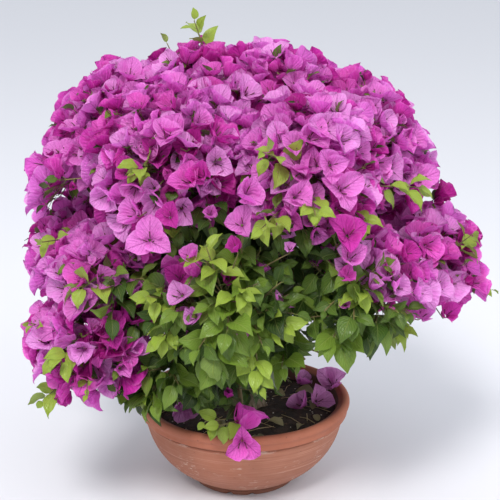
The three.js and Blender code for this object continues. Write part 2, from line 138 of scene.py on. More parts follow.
# A material under construction
class Paint:
    def __init__(self, name):
        self.material = bpy.data.materials.new(name)
        self.material.use_nodes = True
        self.tree = self.material.node_tree
        self.tree.nodes.clear()

    # Adds a node: first its settings, then the values or links of its sockets. Gives one of its outputs.
    def add(self, kind, settings=None, sockets=None, output=0):
        node = self.tree.nodes.new(kind)
        for key, value in (settings or {}).items():
            setattr(node, key, value)
        for key, value in (sockets or {}).items():
            if isinstance(value, Wire):
                self.tree.links.new(value.socket, node.inputs[key])
            else:
                node.inputs[key].default_value = value
        return Wire(self, node.outputs[output]) if node.outputs else None

    def place(self):
        return self.add("ShaderNodeTexCoord", output="Object")

    # The piece's own map: across from 0 to 1 and along from 0 to 1
    def mapped(self):
        uv = self.add("ShaderNodeUVMap", {"uv_map": "OFBake"})
        return self.parts(uv)

    def parts(self, vector):
        return [self.add("ShaderNodeSeparateXYZ", None, {0: vector}, k) for k in range(3)]

    def joined(self, x, y, z):
        return self.add("ShaderNodeCombineXYZ", None, {0: x, 1: y, 2: z})

    def stretched(self, vector, x, y, z):
        return self.add("ShaderNodeVectorMath", {"operation": "MULTIPLY"}, {0: vector, 1: (x, y, z)})

    def noise(self, vector, scale, detail=3.0, roughness=0.55):
        sockets = {"Vector": vector, "Scale": scale, "Detail": detail, "Roughness": roughness}
        return self.add("ShaderNodeTexNoise", None, sockets)

    # From start to end while the value goes from low to high
    def ramp(self, value, low, high, start=0.0, end=1.0):
        sockets = {0: value, 1: low, 2: high, 3: start, 4: end}
        return self.add("ShaderNodeMapRange", {"interpolation_type": "SMOOTHSTEP"}, sockets)

    def mix(self, share, first, second):
        return self.add("ShaderNodeMix", {"data_type": "RGBA"}, {0: share, 6: first, 7: second}, 2)

    def fold(self, operation, value, other=0.0):
        return self.add("ShaderNodeMath", {"operation": operation}, {0: value, 1: other})

    def bump(self, height, distance, strength):
        sockets = {"Height": height, "Distance": distance, "Strength": strength}
        return self.add("ShaderNodeBump", None, sockets)

    # The surface, and for a thin blade the share of the light that comes through it
    def finish(self, colour, roughness, relief=None, gloss=0.5, through=0.0):
        sockets = {"Base Color": colour, "Roughness": roughness, "Specular IOR Level": gloss}
        if relief:
            sockets["Normal"] = relief
        surface = self.add("ShaderNodeBsdfPrincipled", None, sockets)
        if through:
            passing = self.add("ShaderNodeBsdfTranslucent", None, {"Color": colour, "Normal": relief})
            surface = self.add("ShaderNodeMixShader", None, {0: through, 1: surface, 2: passing})
        self.add("ShaderNodeOutputMaterial", None, {0: surface})
        return self.material


# Meshes

def showObject(name, mesh, material):
    piece = bpy.data.objects.new(name, mesh)
    bpy.context.scene.collection.objects.link(piece)
    piece.data.materials.append(material)
    return piece


def objectFrom(name, bm, material):
    bmesh.ops.recalc_face_normals(bm, faces=bm.faces)
    for face in bm.faces:
        face.smooth = True
    mesh = bpy.data.meshes.new(name)
    bm.to_mesh(mesh)
    bm.free()
    return showObject(name, mesh, material)


def dress(piece, slot, *nodes):
    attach(piece, "root")
    if nodes:
        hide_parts(*nodes)


# A small shape as arrays, ready to be repeated: its corners, its faces' corners and its map
def asTemplate(bm):
    layer = bm.loops.layers.uv.verify()
    bm.verts.index_update()
    corners = np.array([v.co for v in bm.verts])
    faces = [[loop.vert.index for loop in face.loops] for face in bm.faces]
    places = np.array([loop[layer].uv for face in bm.faces for loop in face.loops])
    bm.free()
    return corners, faces, places


# Copies of a template. Each has a base and three directions, whose lengths are its sizes.
def repeated(template, bases, frames):
    corners, faces, places = template
    count = len(bases)
    moved = np.einsum("vk,nkj->nvj", corners, frames) + bases[:, None]
    sizes = np.array([len(face) for face in faces])
    loops = np.array([corner for face in faces for corner in face])
    shifted = loops[None] + np.arange(count)[:, None] * len(corners)
    return moved.reshape(-1, 3), np.tile(sizes, count), shifted.ravel(), np.tile(places, (count, 1))


# Thin tubes along many lines of as many points each, with a radius at each point
def tubes(lines, radii, sides):
    lines = np.asarray(lines)
    radii = np.asarray(radii)
    count, steps = lines.shape[:2]
    heading = unit(np.gradient(lines, axis=1))
    overall = unit(lines[:, -1] - lines[:, 0])
    aside = np.where(np.abs(overall[:, 2:]) > 0.9, np.array([[1.0, 0, 0]]), up[None])
    across = unit(np.cross(heading, aside[:, None]))
    along = np.cross(heading, across)
    turn = np.arange(sides) * 2 * math.pi / sides
    ring = across[:, :, None] * np.cos(turn)[:, None] + along[:, :, None] * np.sin(turn)[:, None]
    corners = lines[:, :, None] + ring * radii[:, :, None, None]
    n, p, s = np.meshgrid(np.arange(count), np.arange(steps - 1), np.arange(sides), indexing="ij")
    first = (n * steps + p) * sides
    near, far = first + s, first + (s + 1) % sides
    quads = np.stack([near, far, far + sides, near + sides], -1)
    u = np.stack([s / sides, (s + 1) / sides, (s + 1) / sides, s / sides], -1)
    v = np.stack([p, p, p + 1, p + 1], -1) / (steps - 1)
    places = np.stack([u, v], -1).reshape(-1, 2)
    return corners.reshape(-1, 3), np.full(quads.size // 4, 4), quads.ravel(), places


# One mesh from several sets of corners and faces
def joinedObject(name, sets, material):
    corners = np.concatenate([s[0] for s in sets])
    sizes = np.concatenate([s[1] for s in sets])
    starts = np.cumsum([0] + [len(s[0]) for s in sets])
    loops = np.concatenate([s[2] + start for s, start in zip(sets, starts)])
    places = np.concatenate([s[3] for s in sets])
    mesh = bpy.data.meshes.new(name)
    mesh.vertices.add(len(corners))
    mesh.vertices.foreach_set("co", corners.astype(np.float32).ravel())
    mesh.loops.add(len(loops))
    mesh.loops.foreach_set("vertex_index", loops.astype(np.int32))
    mesh.polygons.add(len(sizes))
    mesh.polygons.foreach_set("loop_start", np.concatenate([[0], np.cumsum(sizes)[:-1]]).astype(np.int32))
    mesh.polygons.foreach_set("loop_total", sizes.astype(np.int32))
    mesh.polygons.foreach_set("use_smooth", np.ones(len(sizes), bool))
    mesh.uv_layers.new(name="OFBake").data.foreach_set("uv", places.astype(np.float32).ravel())
    mesh.update(calc_edges=True)
    mesh.validate()
    return showObject(name, mesh, material)


# A curve with one bend, read by its length from 0 to 1
class Bend:
    def __init__(self, start, middle, end):
        t = np.linspace(0, 1, 41)[:, None]
        self.points = (1 - t) ** 2 * start + 2 * t * (1 - t) * middle + t * t * end
        steps = np.linalg.norm(np.diff(self.points, axis=0), axis=1)
        self.reach = np.concatenate([[0], np.cumsum(steps)])
        self.length = self.reach[-1]

    def at(self, share):
        where = np.asarray(share) * self.length
        return np.stack([np.interp(where, self.reach, self.points[:, k]) for k in range(3)], -1)

    def heading(self, share):
        return unit(self.at(min(share + 0.02, 1.0)) - self.at(max(share - 0.02, 0.0)))


# Camera, light and floor

view = {
    "place": (0.011, -2.1124, 1.0628),
    "lookDown": 16.3,
    "lens": 86.76,
    "sky": 0.97,
    "skyColour": (0.93, 0.96, 1.0, 1),
    "floor": (214, 215, 221),
    "floorSize": 25,
    "aim": (0, 0, 0.4),
    "lights": [
        {"name": "key", "place": (-1.2, -4.6, 5.6), "size": 1.8, "power": 415, "colour": (1.0, 0.98, 0.95)},
        {"name": "fill", "place": (3.6, -2.6, 3.4), "size": 3.0, "power": 75, "colour": (0.97, 0.98, 1.0)},
    ],
}


def setCamera():
    lens = bpy.data.cameras.new("camera")
    lens.lens = view["lens"]
    lens.sensor_width = 36
    lens.clip_end = 60
    camera = bpy.data.objects.new("camera", lens)
    camera.location = view["place"]
    camera.rotation_euler = (math.radians(90 - view["lookDown"]), 0, 0)
    bpy.context.scene.collection.objects.link(camera)
    bpy.context.scene.camera = camera


def addLight(light):
    lamp = bpy.data.lights.new(light["name"], "AREA")
    lamp.size = light["size"]
    lamp.energy = light["power"]
    lamp.color = light["colour"]
    stand = bpy.data.objects.new(light["name"], lamp)
    stand.location = light["place"]
    ray = Vector(view["aim"]) - Vector(light["place"])
    stand.rotation_euler = ray.to_track_quat("-Z", "Y").to_euler()
    bpy.context.scene.collection.objects.link(stand)


def setStage():
    scene = bpy.context.scene
    scene.view_settings.view_transform = "Standard"
    world = bpy.data.worlds.new("studio")
    scene.world = world
    world.use_nodes = True
    sky = world.node_tree.nodes["Background"]
    sky.inputs["Color"].default_value = view["skyColour"]
    sky.inputs["Strength"].default_value = view["sky"]
    for light in view["lights"]:
        addLight(light)
    bm = bmesh.new()
    bmesh.ops.create_grid(bm, x_segments=1, y_segments=1, size=view["floorSize"])
    floor = objectFrom("floor", bm, Paint("paleFloor").finish(tint(view["floor"]), 0.9))


setCamera()
setStage()
print("camera, light and floor are set")


# The terracotta bowl

bowl = {
    "wall": 0.009,
    "rimBand": 0.030,
    "rimStep": 0.009,
    "footHeight": 0.009,
    "footRadius": 0.098,
    "turns": 180,  # steps round the turned outline
    "wallSteps": 64,  # steps up the outer wall
    "innerSteps": 26,
    "ripple": 0.00022,  # the throwing lines' depth
    "rippleLength": 0.0058,
    "unevenness": 0.0006,
    "chips": [(-16, 0.007), (9, 0.006)],  # turn round from the front in degrees, and size
    "chipIn": 0.04,
    "chipUp": 0.0034,
    "body": (158, 99, 76),
    "blotch": (140, 84, 62),
    "bloom": (168, 114, 92),
    "band": (168, 101, 76),
    "bandBlotch": (150, 86, 62),
    "line": (200, 152, 130),  # the paler throwing lines
    "drag": (126, 74, 54),  # the darker ones
    "foot": (112, 68, 52),  # darker near the ground
    # the inner wall: damp clay, darkened further by painted shade
    "inside": (80, 47, 37),
    "insideBlotch": (66, 38, 30),
    "salt": (216, 192, 176),
    "speck": (96, 58, 44),
}


# Points of a curve from its four handles
def cubic(a, b, c, d, count):
    t = np.linspace(0, 1, count)[:, None]
    a, b, c, d = (np.array(p) for p in (a, b, c, d))
    return (1 - t) ** 3 * a + 3 * t * (1 - t) ** 2 * b + 3 * t * t * (1 - t) * c + t ** 3 * d


def arc(centre, across, high, start, end, count):
    turn = np.linspace(start, end, count)
    return np.stack([centre[0] + across * np.cos(turn), centre[1] + high * np.sin(turn)], -1)


def innerWall(rim, height):
    foot, wall, floor = bowl["footRadius"], bowl["wall"], bowl["footHeight"]
    return cubic(
        (foot - 0.016, floor + wall - 0.004),
        (foot + 0.034, floor + 0.028),
        (rim - 2 * wall - 0.008, height - bowl["rimBand"] - 0.054),
        (rim - 2 * wall - 0.003, height - 0.006),
        bowl["innerSteps"],
    )


# A line of radii and heights turned right round the upright axis
def turned(profile, turns):
    bm = bmesh.new()
    corners = [bm.verts.new((r, 0, z)) for r, z in profile]
    edges = [bm.edges.new(pair) for pair in zip(corners, corners[1:])]
    axis = {"cent": (0, 0, 0), "axis": (0, 0, 1)}
    bmesh.ops.spin(bm, geom=corners + edges, angle=2 * math.pi, steps=turns, use_merge=True, **axis)
    bmesh.ops.remove_doubles(bm, verts=bm.verts, dist=1e-6)
    return bm


def clayMaterial(rim, height):
    paint = Paint("firedClay")
    place = paint.place()
    x, y, z = paint.parts(place)
    bandFoot = height - bowl["rimBand"]
    mottling = paint.ramp(paint.noise(place, 11, 4), 0.3, 0.7)
    cloud = paint.ramp(paint.noise(place, 4.5, 2), 0.35, 0.65)
    grain = paint.noise(place, 330, 4, 0.7)
    thrown = paint.noise(paint.stretched(place, 6, 6, 330), 1.0, 3, 0.6)
    body = paint.mix(mottling * 0.5, tint(bowl["body"]), tint(bowl["blotch"]))
    body = paint.mix(cloud * 0.45, body, tint(bowl["bloom"]))
    body = paint.mix(paint.ramp(thrown, 0.54, 0.7) * 0.4, body, tint(bowl["line"]))
    body = paint.mix(paint.ramp(thrown, 0.46, 0.32) * 0.4, body, tint(bowl["drag"]))
    band = paint.mix(mottling * 0.6, tint(bowl["band"]), tint(bowl["bandBlotch"]))
    colour = paint.mix(paint.ramp(z, bandFoot - 0.001, bandFoot + 0.003), body, band)
    colour = paint.mix(paint.ramp(z, 0.016, 0.006) * 0.85, colour, tint(bowl["foot"]))
    # Salt that has dried out in the groove under the band and in broken lines lower down
    patch = paint.ramp(paint.noise(paint.stretched(place, 1, 1, 5), 16, 5, 0.65), 0.5, 0.6)
    groove = paint.ramp(z, bandFoot - 0.009, bandFoot - 0.003)
    groove = groove * paint.ramp(z, bandFoot + 0.002, bandFoot - 0.001)
    streak = paint.ramp(paint.noise(paint.stretched(place, 60, 60, 620), 1.0, 2, 0.5), 0.6, 0.66)
    broken = paint.ramp(paint.noise(place, 23, 3), 0.52, 0.6)
    low = paint.ramp(z, 0.12, 0.08) * paint.ramp(z, 0.012, 0.03)
    salt = paint.fold("MAXIMUM", patch * groove * 0.7, streak * broken * low * 0.7)
    colour = paint.mix(salt, colour, tint(bowl["salt"]))
    # Dirt specks, and the inner wall, damp and darkened further by painted shade
    speck = paint.ramp(paint.noise(place, 150, 2), 0.7, 0.76)
    colour = paint.mix(speck * 0.5, colour, tint(bowl["speck"]))
    normal = paint.add("ShaderNodeNewGeometry", output="Normal")
    outward = {0: normal, 1: paint.joined(x, y, 0.0)}
    radial = paint.add("ShaderNodeVectorMath", {"operation": "DOT_PRODUCT"}, outward, 1)
    # Painted shade over the damp colour of the inner wall
    inside = paint.ramp(radial, -0.01, -0.05) * paint.ramp(z, height - 0.004, height - 0.011)
    dampAndShade = paint.mix(mottling, tint(bowl["inside"]), tint(bowl["insideBlotch"]))
    colour = paint.mix(inside * 0.92, colour, dampAndShade)
    rough = paint.ramp(paint.noise(place, 40, 3), 0.3, 0.7, 0.7, 0.88)
    relief = grain * 0.35 + thrown * 0.65
    return paint.finish(colour, rough, paint.bump(relief, 0.0011, 0.5))


def buildBowl():
    low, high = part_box("terracotta_bowl")
    rim, height = high.x, high.z
    foot, floor, bandFoot = bowl["footRadius"], bowl["footHeight"], high.z - bowl["rimBand"]
    shoulder = rim - bowl["rimStep"] - 0.004
    outer = cubic(
        (foot - 0.002, floor),
        (foot + 0.044, floor + 0.022),
        (rim - bowl["rimStep"] - 0.012, bandFoot - 0.062),
        (shoulder, bandFoot - 0.006),
        bowl["wallSteps"],
    )
    # Throwing lines on the outer wall, which fade towards the groove
    fade = np.sin(np.linspace(0, math.pi, len(outer)))
    outer[:, 0] += bowl["ripple"] * fade * np.sin(outer[:, 1] * 2 * math.pi / bowl["rippleLength"])
    groove = arc((shoulder + 0.0005, bandFoot - 0.0015), 0.0026, 0.0026, -1.9, -4.3, 7)
    lip = arc((rim - 0.0085, height - 0.009), 0.0085, 0.009, -0.75, math.pi * 0.86, 20)
    profile = np.concatenate([
        [(0, low.z), (foot - 0.004, low.z)],
        arc((foot - 0.0025, low.z + 0.0025), 0.0025, 0.0025, -math.pi / 2, 0, 5),
        arc((foot - 0.003, floor - 0.003), 0.003, 0.003, 0, math.pi / 2, 5),
        outer,
        groove,
        arc((rim - 0.0072, bandFoot + 0.0052), 0.0032, 0.0032, -math.pi / 2, -0.1, 5),
        [(rim - 0.0036, bandFoot + 0.009), (rim - 0.0033, bandFoot + 0.014)],
        lip,
        innerWall(rim, height)[::-1],
        [(0, floor + bowl["wall"] - 0.004)],
    ])
    bm = turned(profile, bowl["turns"])
    for vert in bm.verts:
        r = math.hypot(vert.co.x, vert.co.y)
        if r > 0.001:
            swell = noise.noise((vert.co.x * 9, vert.co.y * 9, vert.co.z * 14))
            vert.co.xy *= 1 + bowl["unevenness"] * (swell - 0.6) / r
        for turn, size in bowl["chips"]:
            centre = Vector(outwards(turn) * foot) + Vector((0, 0, low.z))
            near = 1 - (vert.co - centre).length / size
            if near > 0:
                vert.co.xy *= 1 - bowl["chipIn"] * near ** 0.5
                vert.co.z += bowl["chipUp"] * near
    piece = objectFrom("bowl", bm, clayMaterial(rim, height))
    dress(piece, "terracotta", "terracotta_bowl")


buildBowl()
print("the bowl is thrown")


# Soil and what lies on it

ground = {
    "turns": 150,
    "lumps": 0.0021,
    "edgeDrop": 0.009,  # how far the soil's edge lies below its middle
    "mound": 0.062,  # radius of its level middle
    "rimOut": 0.0212,  # from the soil's edge out to the bowl's rim
    "bowlHeight": 0.162,
    "earth": (34, 25, 20),
    "paleEarth": (66, 50, 40),
    "fibre": (104, 82, 62),
    "crumbs": 800,
    "crumbSizes": (0.0016, 0.0052),
    "crumbFlatness": 0.75,
    "crumb": (40, 30, 24),
    "paleCrumb": (92, 72, 56),
    "perlite": 90,
    "perliteSizes": (0.0016, 0.0034),
    "perliteFlatness": 0.85,
    "chalk": (214, 208, 196),
    "dullChalk": (182, 172, 158),
}

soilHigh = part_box("soil")[1]
soilRadius = soilHigh.x


# The height of the soil at a place, with its lumps
def soilTop(x, y):
    r = math.hypot(x, y)
    edge = soilHigh.z - ground["edgeDrop"]
    rise = min(max((soilRadius - 0.006 - r) / (soilRadius - 0.006 - ground["mound"]), 0), 1)
    fine = noise.noise((x * 70, y * 70, 1.3)) + 0.5 * noise.noise((x * 170, y * 170, 4.1))
    broad = noise.noise((x * 16, y * 16, 7.7))
    calm = min(max((r - 0.02) / 0.03, 0), 1)
    return edge + (soilHigh.z - edge) * rise ** 0.7 + ground["lumps"] * (0.8 * fine + 0.7 * broad * calm)


def soilMaterial():
    paint = Paint("pottingSoil")
    place = paint.place()
    clod = paint.ramp(paint.noise(place, 55, 5, 0.7), 0.35, 0.7)
    fibre = paint.noise(place, 420, 5, 0.75)
    colour = paint.mix(clod, tint(ground["earth"]), tint(ground["paleEarth"]))
    colour = paint.mix(paint.ramp(fibre, 0.58, 0.7) * 0.5, colour, tint(ground["fibre"]))
    rough = paint.ramp(fibre, 0.3, 0.7, 0.9, 1.0)
    return paint.finish(colour, rough, paint.bump(fibre + clod, 0.002, 0.8))


def buildSoil():
    clay = innerWall(soilRadius + ground["rimOut"], ground["bowlHeight"])
    wall = [(r - 0.0006, z + 0.0004) for r, z in clay if z < soilHigh.z - 0.010]
    top = [(r, soilHigh.z) for r in np.linspace(soilRadius - 0.001, 0, 64)]
    bm = turned([(0, wall[0][1])] + wall + top, ground["turns"])
    for vert in bm.verts:
        if vert.co.z > soilHigh.z - 1e-5:
            vert.co.z = soilTop(vert.co.x, vert.co.y)
    piece = objectFrom("soil_surface", bm, soilMaterial())
    dress(piece, "soil", "soil")


# A rough little lump of the given flatness
def lumpTemplate(seed, flatness):
    bm = bmesh.new()
    bmesh.ops.create_icosphere(bm, subdivisions=1, radius=0.5)
    for vert in bm.verts:
        vert.co *= 1 + 0.6 * noise.noise(vert.co * 3 + Vector((seed, 0, 0)))
        vert.co.z *= flatness
    return asTemplate(bm)


# Frames turned at random about the upright, and tilted by up to the given angle
def lyingFrames(sizes, tilt):
    frames = []
    for size in sizes:
        turn = Matrix.Rotation(jitter(math.pi), 3, "Z") @ Matrix.Rotation(jitter(tilt), 3, "X")
        frames.append(np.array(turn.transposed()) * size)
    return np.array(frames)


# Places spread over the soil, clear of the trunk
def soilPlaces(count, nearest=0.04):
    r = np.sqrt(chanceStream.uniform(nearest ** 2, (soilRadius - 0.004) ** 2, count))
    a = chanceStream.uniform(0, 2 * math.pi, count)
    x, y = r * np.cos(a), r * np.sin(a)
    return np.array([(px, py, soilTop(px, py)) for px, py in zip(x, y)])


def buildCrumbs():
    paint = Paint("soilCrumbs")
    shade = paint.ramp(paint.noise(paint.place(), 60, 3), 0.35, 0.65)
    colour = paint.mix(shade, tint(ground["crumb"]), tint(ground["paleCrumb"]))
    material = paint.finish(colour, 0.95)
    sets = []
    for seed in range(4):
        count = ground["crumbs"] // 4
        sizes = chanceStream.uniform(*ground["crumbSizes"], count)
        lump = lumpTemplate(seed, ground["crumbFlatness"])
        sets.append(repeated(lump, soilPlaces(count), lyingFrames(sizes, 1.0)))
    dress(joinedObject("soil_crumbs", sets, material), "soil")
    paint = Paint("perlite")
    chalk = paint.ramp(paint.noise(paint.place(), 300, 2), 0.3, 0.7)
    colour = paint.mix(chalk, tint(ground["chalk"]), tint(ground["dullChalk"]))
    material = paint.finish(colour, 0.9)
    frames = lyingFrames(chanceStream.uniform(*ground["perliteSizes"], ground["perlite"]), 1.0)
    places = soilPlaces(ground["perlite"]) + (0, 0, 0.0006)
    sets = [repeated(lumpTemplate(9, ground["perliteFlatness"]), places, frames)]
    dress(joinedObject("perlite", sets, material), "soil")


buildSoil()
buildCrumbs()
print("the soil is filled in")


# Trunk and stems, from the same sizes as the frame's solids

wood = {
    "fork": np.array([-0.006, 0.006, 0.198]),
    "trunkFlare": 0.036,
    "trunkRadius": 0.024,
    "ribs": 5,
    "ribDepth": 0.24,
    "stemFootRadius": 0.0125,
    "stemTipRadius": 0.005,
    "boughFootRadius": 0.0055,
    "boughTipRadius": 0.0034,
    "trunkSteps": (60, 30),  # sides round it, and steps along it
    "stemSteps": (16, 24),
    "boughSteps": (10, 18),
    "voxel": 0.0017,
    "furrows": 0.0011,  # depth of the bark's furrows
    "ridges": 0.0005,  # and of the boughs' ridges
    "groove": (74, 60, 48),
    "bark": (142, 126, 106),
    "lichen": (112, 108, 84),
    "young": (112, 104, 66),
    "youngPatch": (126, 106, 78),
    "youngStreak": (84, 72, 48),
}
stems = {
    "left": {"turn": 262, "reach": 0.165, "rise": 0.215, "bow": 0.034},
    "right": {"turn": 84, "reach": 0.160, "rise": 0.205, "bow": 0.030},
    "front": {"turn": 352, "reach": 0.118, "rise": 0.160, "bow": 0.024},
    "back": {"turn": 176, "reach": 0.150, "rise": 0.190, "bow": 0.028},
    "middle": {"turn": 40, "reach": 0.034, "rise": 0.330, "bow": 0.012},
}


def stemCurve(stem):
    away = outwards(stem["turn"])
    foot = wood["fork"] - up * 0.012 + away * 0.006
    tip = wood["fork"] + away * stem["reach"] + up * stem["rise"]
    middle = (foot + tip) / 2 + away * stem["bow"] * 0.6 - up * stem["bow"] * 0.4
    return Bend(foot, middle, tip)


# The edges at some corners, each once and always in the same order
def edgesAt(corners):
    return list(dict.fromkeys(edge for vert in corners for edge in vert.link_edges))


# A limb: a circle drawn out step by step along a curve
def drawLimb(bm, curve, radiusAt, sides, steps):
    ring = bmesh.ops.create_circle(bm, cap_ends=True, segments=sides, radius=1)["verts"]
    across = Vector((0, 1, 0))
    before = Matrix.Identity(4)
    edges = edgesAt(ring)
    for k, share in enumerate(np.linspace(0, 1, steps + 1)):
        along = Vector(curve.heading(share))
        across = (across - along * across.dot(along)).normalized()
        radius = radiusAt(share)
        rows = Matrix((across * radius, along.cross(across) * radius, along * radius))
        frame = rows.transposed().to_4x4()
        frame.translation = Vector(curve.at(share))
        if k:
            drawn = bmesh.ops.extrude_edge_only(bm, edges=edges)["geom"]
            ring = [g for g in drawn if isinstance(g, bmesh.types.BMVert)]
            edges = [g for g in drawn if isinstance(g, bmesh.types.BMEdge)]
            edges = [edge for edge in edges if all(vert in ring for vert in edge.verts)]
        bmesh.ops.transform(bm, matrix=frame @ before.inverted(), verts=ring)
        before = frame
    bmesh.ops.contextual_create(bm, geom=ring)


def barkMaterial():
    paint = Paint("greyBark")
    place = paint.place()
    furrow = paint.noise(paint.stretched(place, 1, 1, 0.22), 150, 5, 0.65)
    patch = paint.ramp(paint.noise(place, 30, 3), 0.35, 0.65)
    colour = paint.mix(paint.ramp(furrow, 0.35, 0.62), tint(wood["groove"]), tint(wood["bark"]))
    colour = paint.mix(patch * 0.35, colour, tint(wood["lichen"]))
    rough = paint.ramp(furrow, 0.3, 0.7, 0.95, 0.8)
    return paint.finish(colour, rough, paint.bump(furrow, 0.0015, 0.8))


# Fuses the limbs into one skin, and presses the bark's furrows and knots into it
def barkSkin(bm, name, material):
    rough = objectFrom(name, bm, material)
    fuse = rough.modifiers.new("fuse", "REMESH")
    fuse.mode = "VOXEL"
    fuse.voxel_size = wood["voxel"]
    fuse.use_smooth_shade = True
    ease = rough.modifiers.new("ease", "SMOOTH")
    ease.iterations = 3
    ready = rough.evaluated_get(bpy.context.evaluated_depsgraph_get())
    mesh = bpy.data.meshes.new_from_object(ready)
    bpy.data.objects.remove(rough)
    # All the normals are read before a corner moves
    moves = []
    for vert in mesh.vertices:
        p = vert.co
        furrow = noise.noise((p.x * 190, p.y * 190, p.z * 34))
        furrow += 0.6 * noise.noise((p.x * 420, p.y * 420, p.z * 90))
        moves.append(p + vert.normal * wood["furrows"] * (furrow + 0.9 * noise.noise(p * 46) - 0.35))
    mesh.vertices.foreach_set("co", np.array(moves).ravel())
    mesh.update()
    return showObject(name, mesh, material)


def trunkRadius(share, flare):
    return wood["trunkRadius"] - 0.003 * share + flare * (1 - share) ** 3


def buildWood():
    trunkFoot = np.array([0.004, 0.0, soilHigh.z - 0.004])
    trunk = Bend(trunkFoot, trunkFoot + up * 0.03, wood["fork"])
    bm = bmesh.new()
    flare = wood["trunkFlare"] - wood["trunkRadius"]
    drawLimb(bm, trunk, lambda t: trunkRadius(t, flare), *wood["trunkSteps"])
    bm.verts.ensure_lookup_table()
    for vert in bm.verts:
        share = (vert.co.z - trunkFoot[2]) / (wood["fork"][2] - trunkFoot[2])
        centre = Vector(trunk.at(min(max(share, 0), 1)))
        away = vert.co - centre
        rib = math.cos(wood["ribs"] * math.atan2(away.y, away.x))
        vert.co.xy += away.xy * wood["ribDepth"] * rib * max(1 - share, 0) ** 2
    for stem in stems.values():
        stem["curve"] = stemCurve(stem)
        foot, tip = wood["stemFootRadius"], wood["stemTipRadius"]
        drawLimb(bm, stem["curve"], lambda t, a=foot, b=tip: a + (b - a) * t, *wood["stemSteps"])
    piece = barkSkin(bm, "trunk_and_stems", barkMaterial())
    dress(piece, "bark", "trunk", *[f"stem_{name}" for name in stems])


buildWood()
print("trunk and stems are grown")


# The crown: the same masses as in the frame, from their own sizes

crown = {
    "heart": np.array([0.006, 0, 0.440]),
    "reach": 1.13,  # how far out the outermost blades lie, in half sizes
    "shoulder": 0.028,  # how much higher the top and upper masses reach at the sides than in the middle
    "margin": 0.022,  # share of a mass's size kept clear along its border
    "entry": 0.82,  # how deep a bough enters its mass
    "front": -0.374,  # no spray's tip lies further to the front
    "outer": 1.3,  # nor further out in its mass, in half sizes
    "gap": 0.00035,
}
tiers = [
    {
        "tier": "top", "height": 0.700, "ring": 0, "shift": -0.018, "tilt": 0,
        "half": (0.184, 0.184, 0.112), "start": 1, "stem": "middle",
        "bloom": {"crown": 0},
    },
    {
        "tier": "upper", "height": 0.630, "ring": 0.214, "shift": -0.014, "tilt": -0.008,
        "half": (0.142, 0.146, 0.134), "start": 0.74, "stem": "middle",
        "bloom": {
            "front_right": 30, "right": 90, "back_right": 150,
            "back_left": 210, "left": 270, "front_left": 330,
        },
    },
    {
        "tier": "waist", "height": 0.440, "ring": 0.288, "shift": 0.004, "tilt": 0,
        "half": (0.132, 0.138, 0.122), "start": 0.93, "stem": None,
        "leaf": {"front": -8, "front_right": 37, "back": 172},
        "bloom": {"back_right": 126, "back_left": 217, "left": 262, "front_left": 307},
    },
    {
        "tier": "low", "height": 0.318, "ring": 0.212, "shift": -0.016, "tilt": 0.052,
        "half": (0.116, 0.138, 0.082), "start": 0.5, "stem": None,
        "leaf": {
            "front_right": 24, "right": 84, "back_right": 144,
            "back_left": 204, "left": 264, "front_left": 324,
        },
    },
]
tresses = [
    {
        "side": "tress_left", "kind": "bloom", "stem": "left", "start": 0.66,
        "middle": (-0.250, -0.206, 0.352), "half": (0.122, 0.114, 0.116),
    },
    {
        "side": "tress_right", "kind": "bloom", "stem": "right", "start": 0.9,
        "middle": (0.326, -0.050, 0.430), "half": (0.112, 0.128, 0.120),
    },
    {
        "side": "sprig_front", "kind": "leaf", "stem": "front", "start": 0.3,
        "middle": (0, -0.232, 0.204), "half": (0.052, 0.040, 0.068),
    },
]


def nearestStem(turn):
    def gap(name):
        return abs((stems[name]["turn"] - turn + 540) % 360 - 180)
    return min((name for name in stems if name != "middle"), key=gap)


def describeMass(side, kind, middle, turn, source):
    return {
        "side": side, "kind": kind, "middle": np.array(middle), "half": np.array(source["half"]),
        "axes": np.array([outwards(turn), outwards(turn + 90), up]),
        "facing": unit(np.array(middle) - crown["heart"]),
        "stem": source["stem"] or nearestStem(turn),
        "start": source["start"],
    }


def crownMasses():
    found = []
    for tier in tiers:
        for kind in ("leaf", "bloom"):
            for name, turn in tier.get(kind, {}).items():
                away = outwards(turn)
                height = tier["height"] + tier["tilt"] * away[0]
                place = away * tier["ring"] + np.array([crown["heart"][0] + tier["shift"], 0, height])
                found.append(describeMass(f"{tier['tier']}_{name}", kind, place, turn, tier))
    for tress in tresses:
        found.append(describeMass(tress["side"], tress["kind"], tress["middle"], 90, tress))
    return found


masses = crownMasses()
middles = np.array([m["middle"] for m in masses])
squeeze = np.array([m["axes"] / m["half"][:, None] for m in masses])


# How deep a place lies in each mass, counted in half sizes from its middle
def depths(point):
    return np.linalg.norm(np.einsum("mkj,mj->mk", squeeze, point - middles), axis=1)


def inSpace(index, point, limit):
    every = depths(point)
    own = every[index]
    every[index] = math.inf
    return own < limit and own + crown["margin"] < every.min()


def entryOf(index, start):
    middle = masses[index]["middle"]
    steps = 60
    for i in range(steps):
        point = start + (middle - start) * i / steps
        if inSpace(index, point, crown["entry"]):
            return point
    return middle


def youngBarkMaterial():
    paint = Paint("youngBark")
    place = paint.place()
    streak = paint.noise(paint.stretched(place, 1, 1, 0.3), 210, 4, 0.6)
    patch = paint.ramp(paint.noise(place, 18, 3), 0.35, 0.65)
    colour = paint.mix(patch, tint(wood["young"]), tint(wood["youngPatch"]))
    colour = paint.mix(paint.ramp(streak, 0.45, 0.65) * 0.5, colour, tint(wood["youngStreak"]))
    return paint.finish(colour, 0.8, paint.bump(streak, 0.0008, 0.7))


def boughRadius(share, seed):
    thick, thin = wood["boughFootRadius"], wood["boughTipRadius"]
    return (thick + (thin - thick) * share) * (1 + spread(seed + share * 9, 0.05))


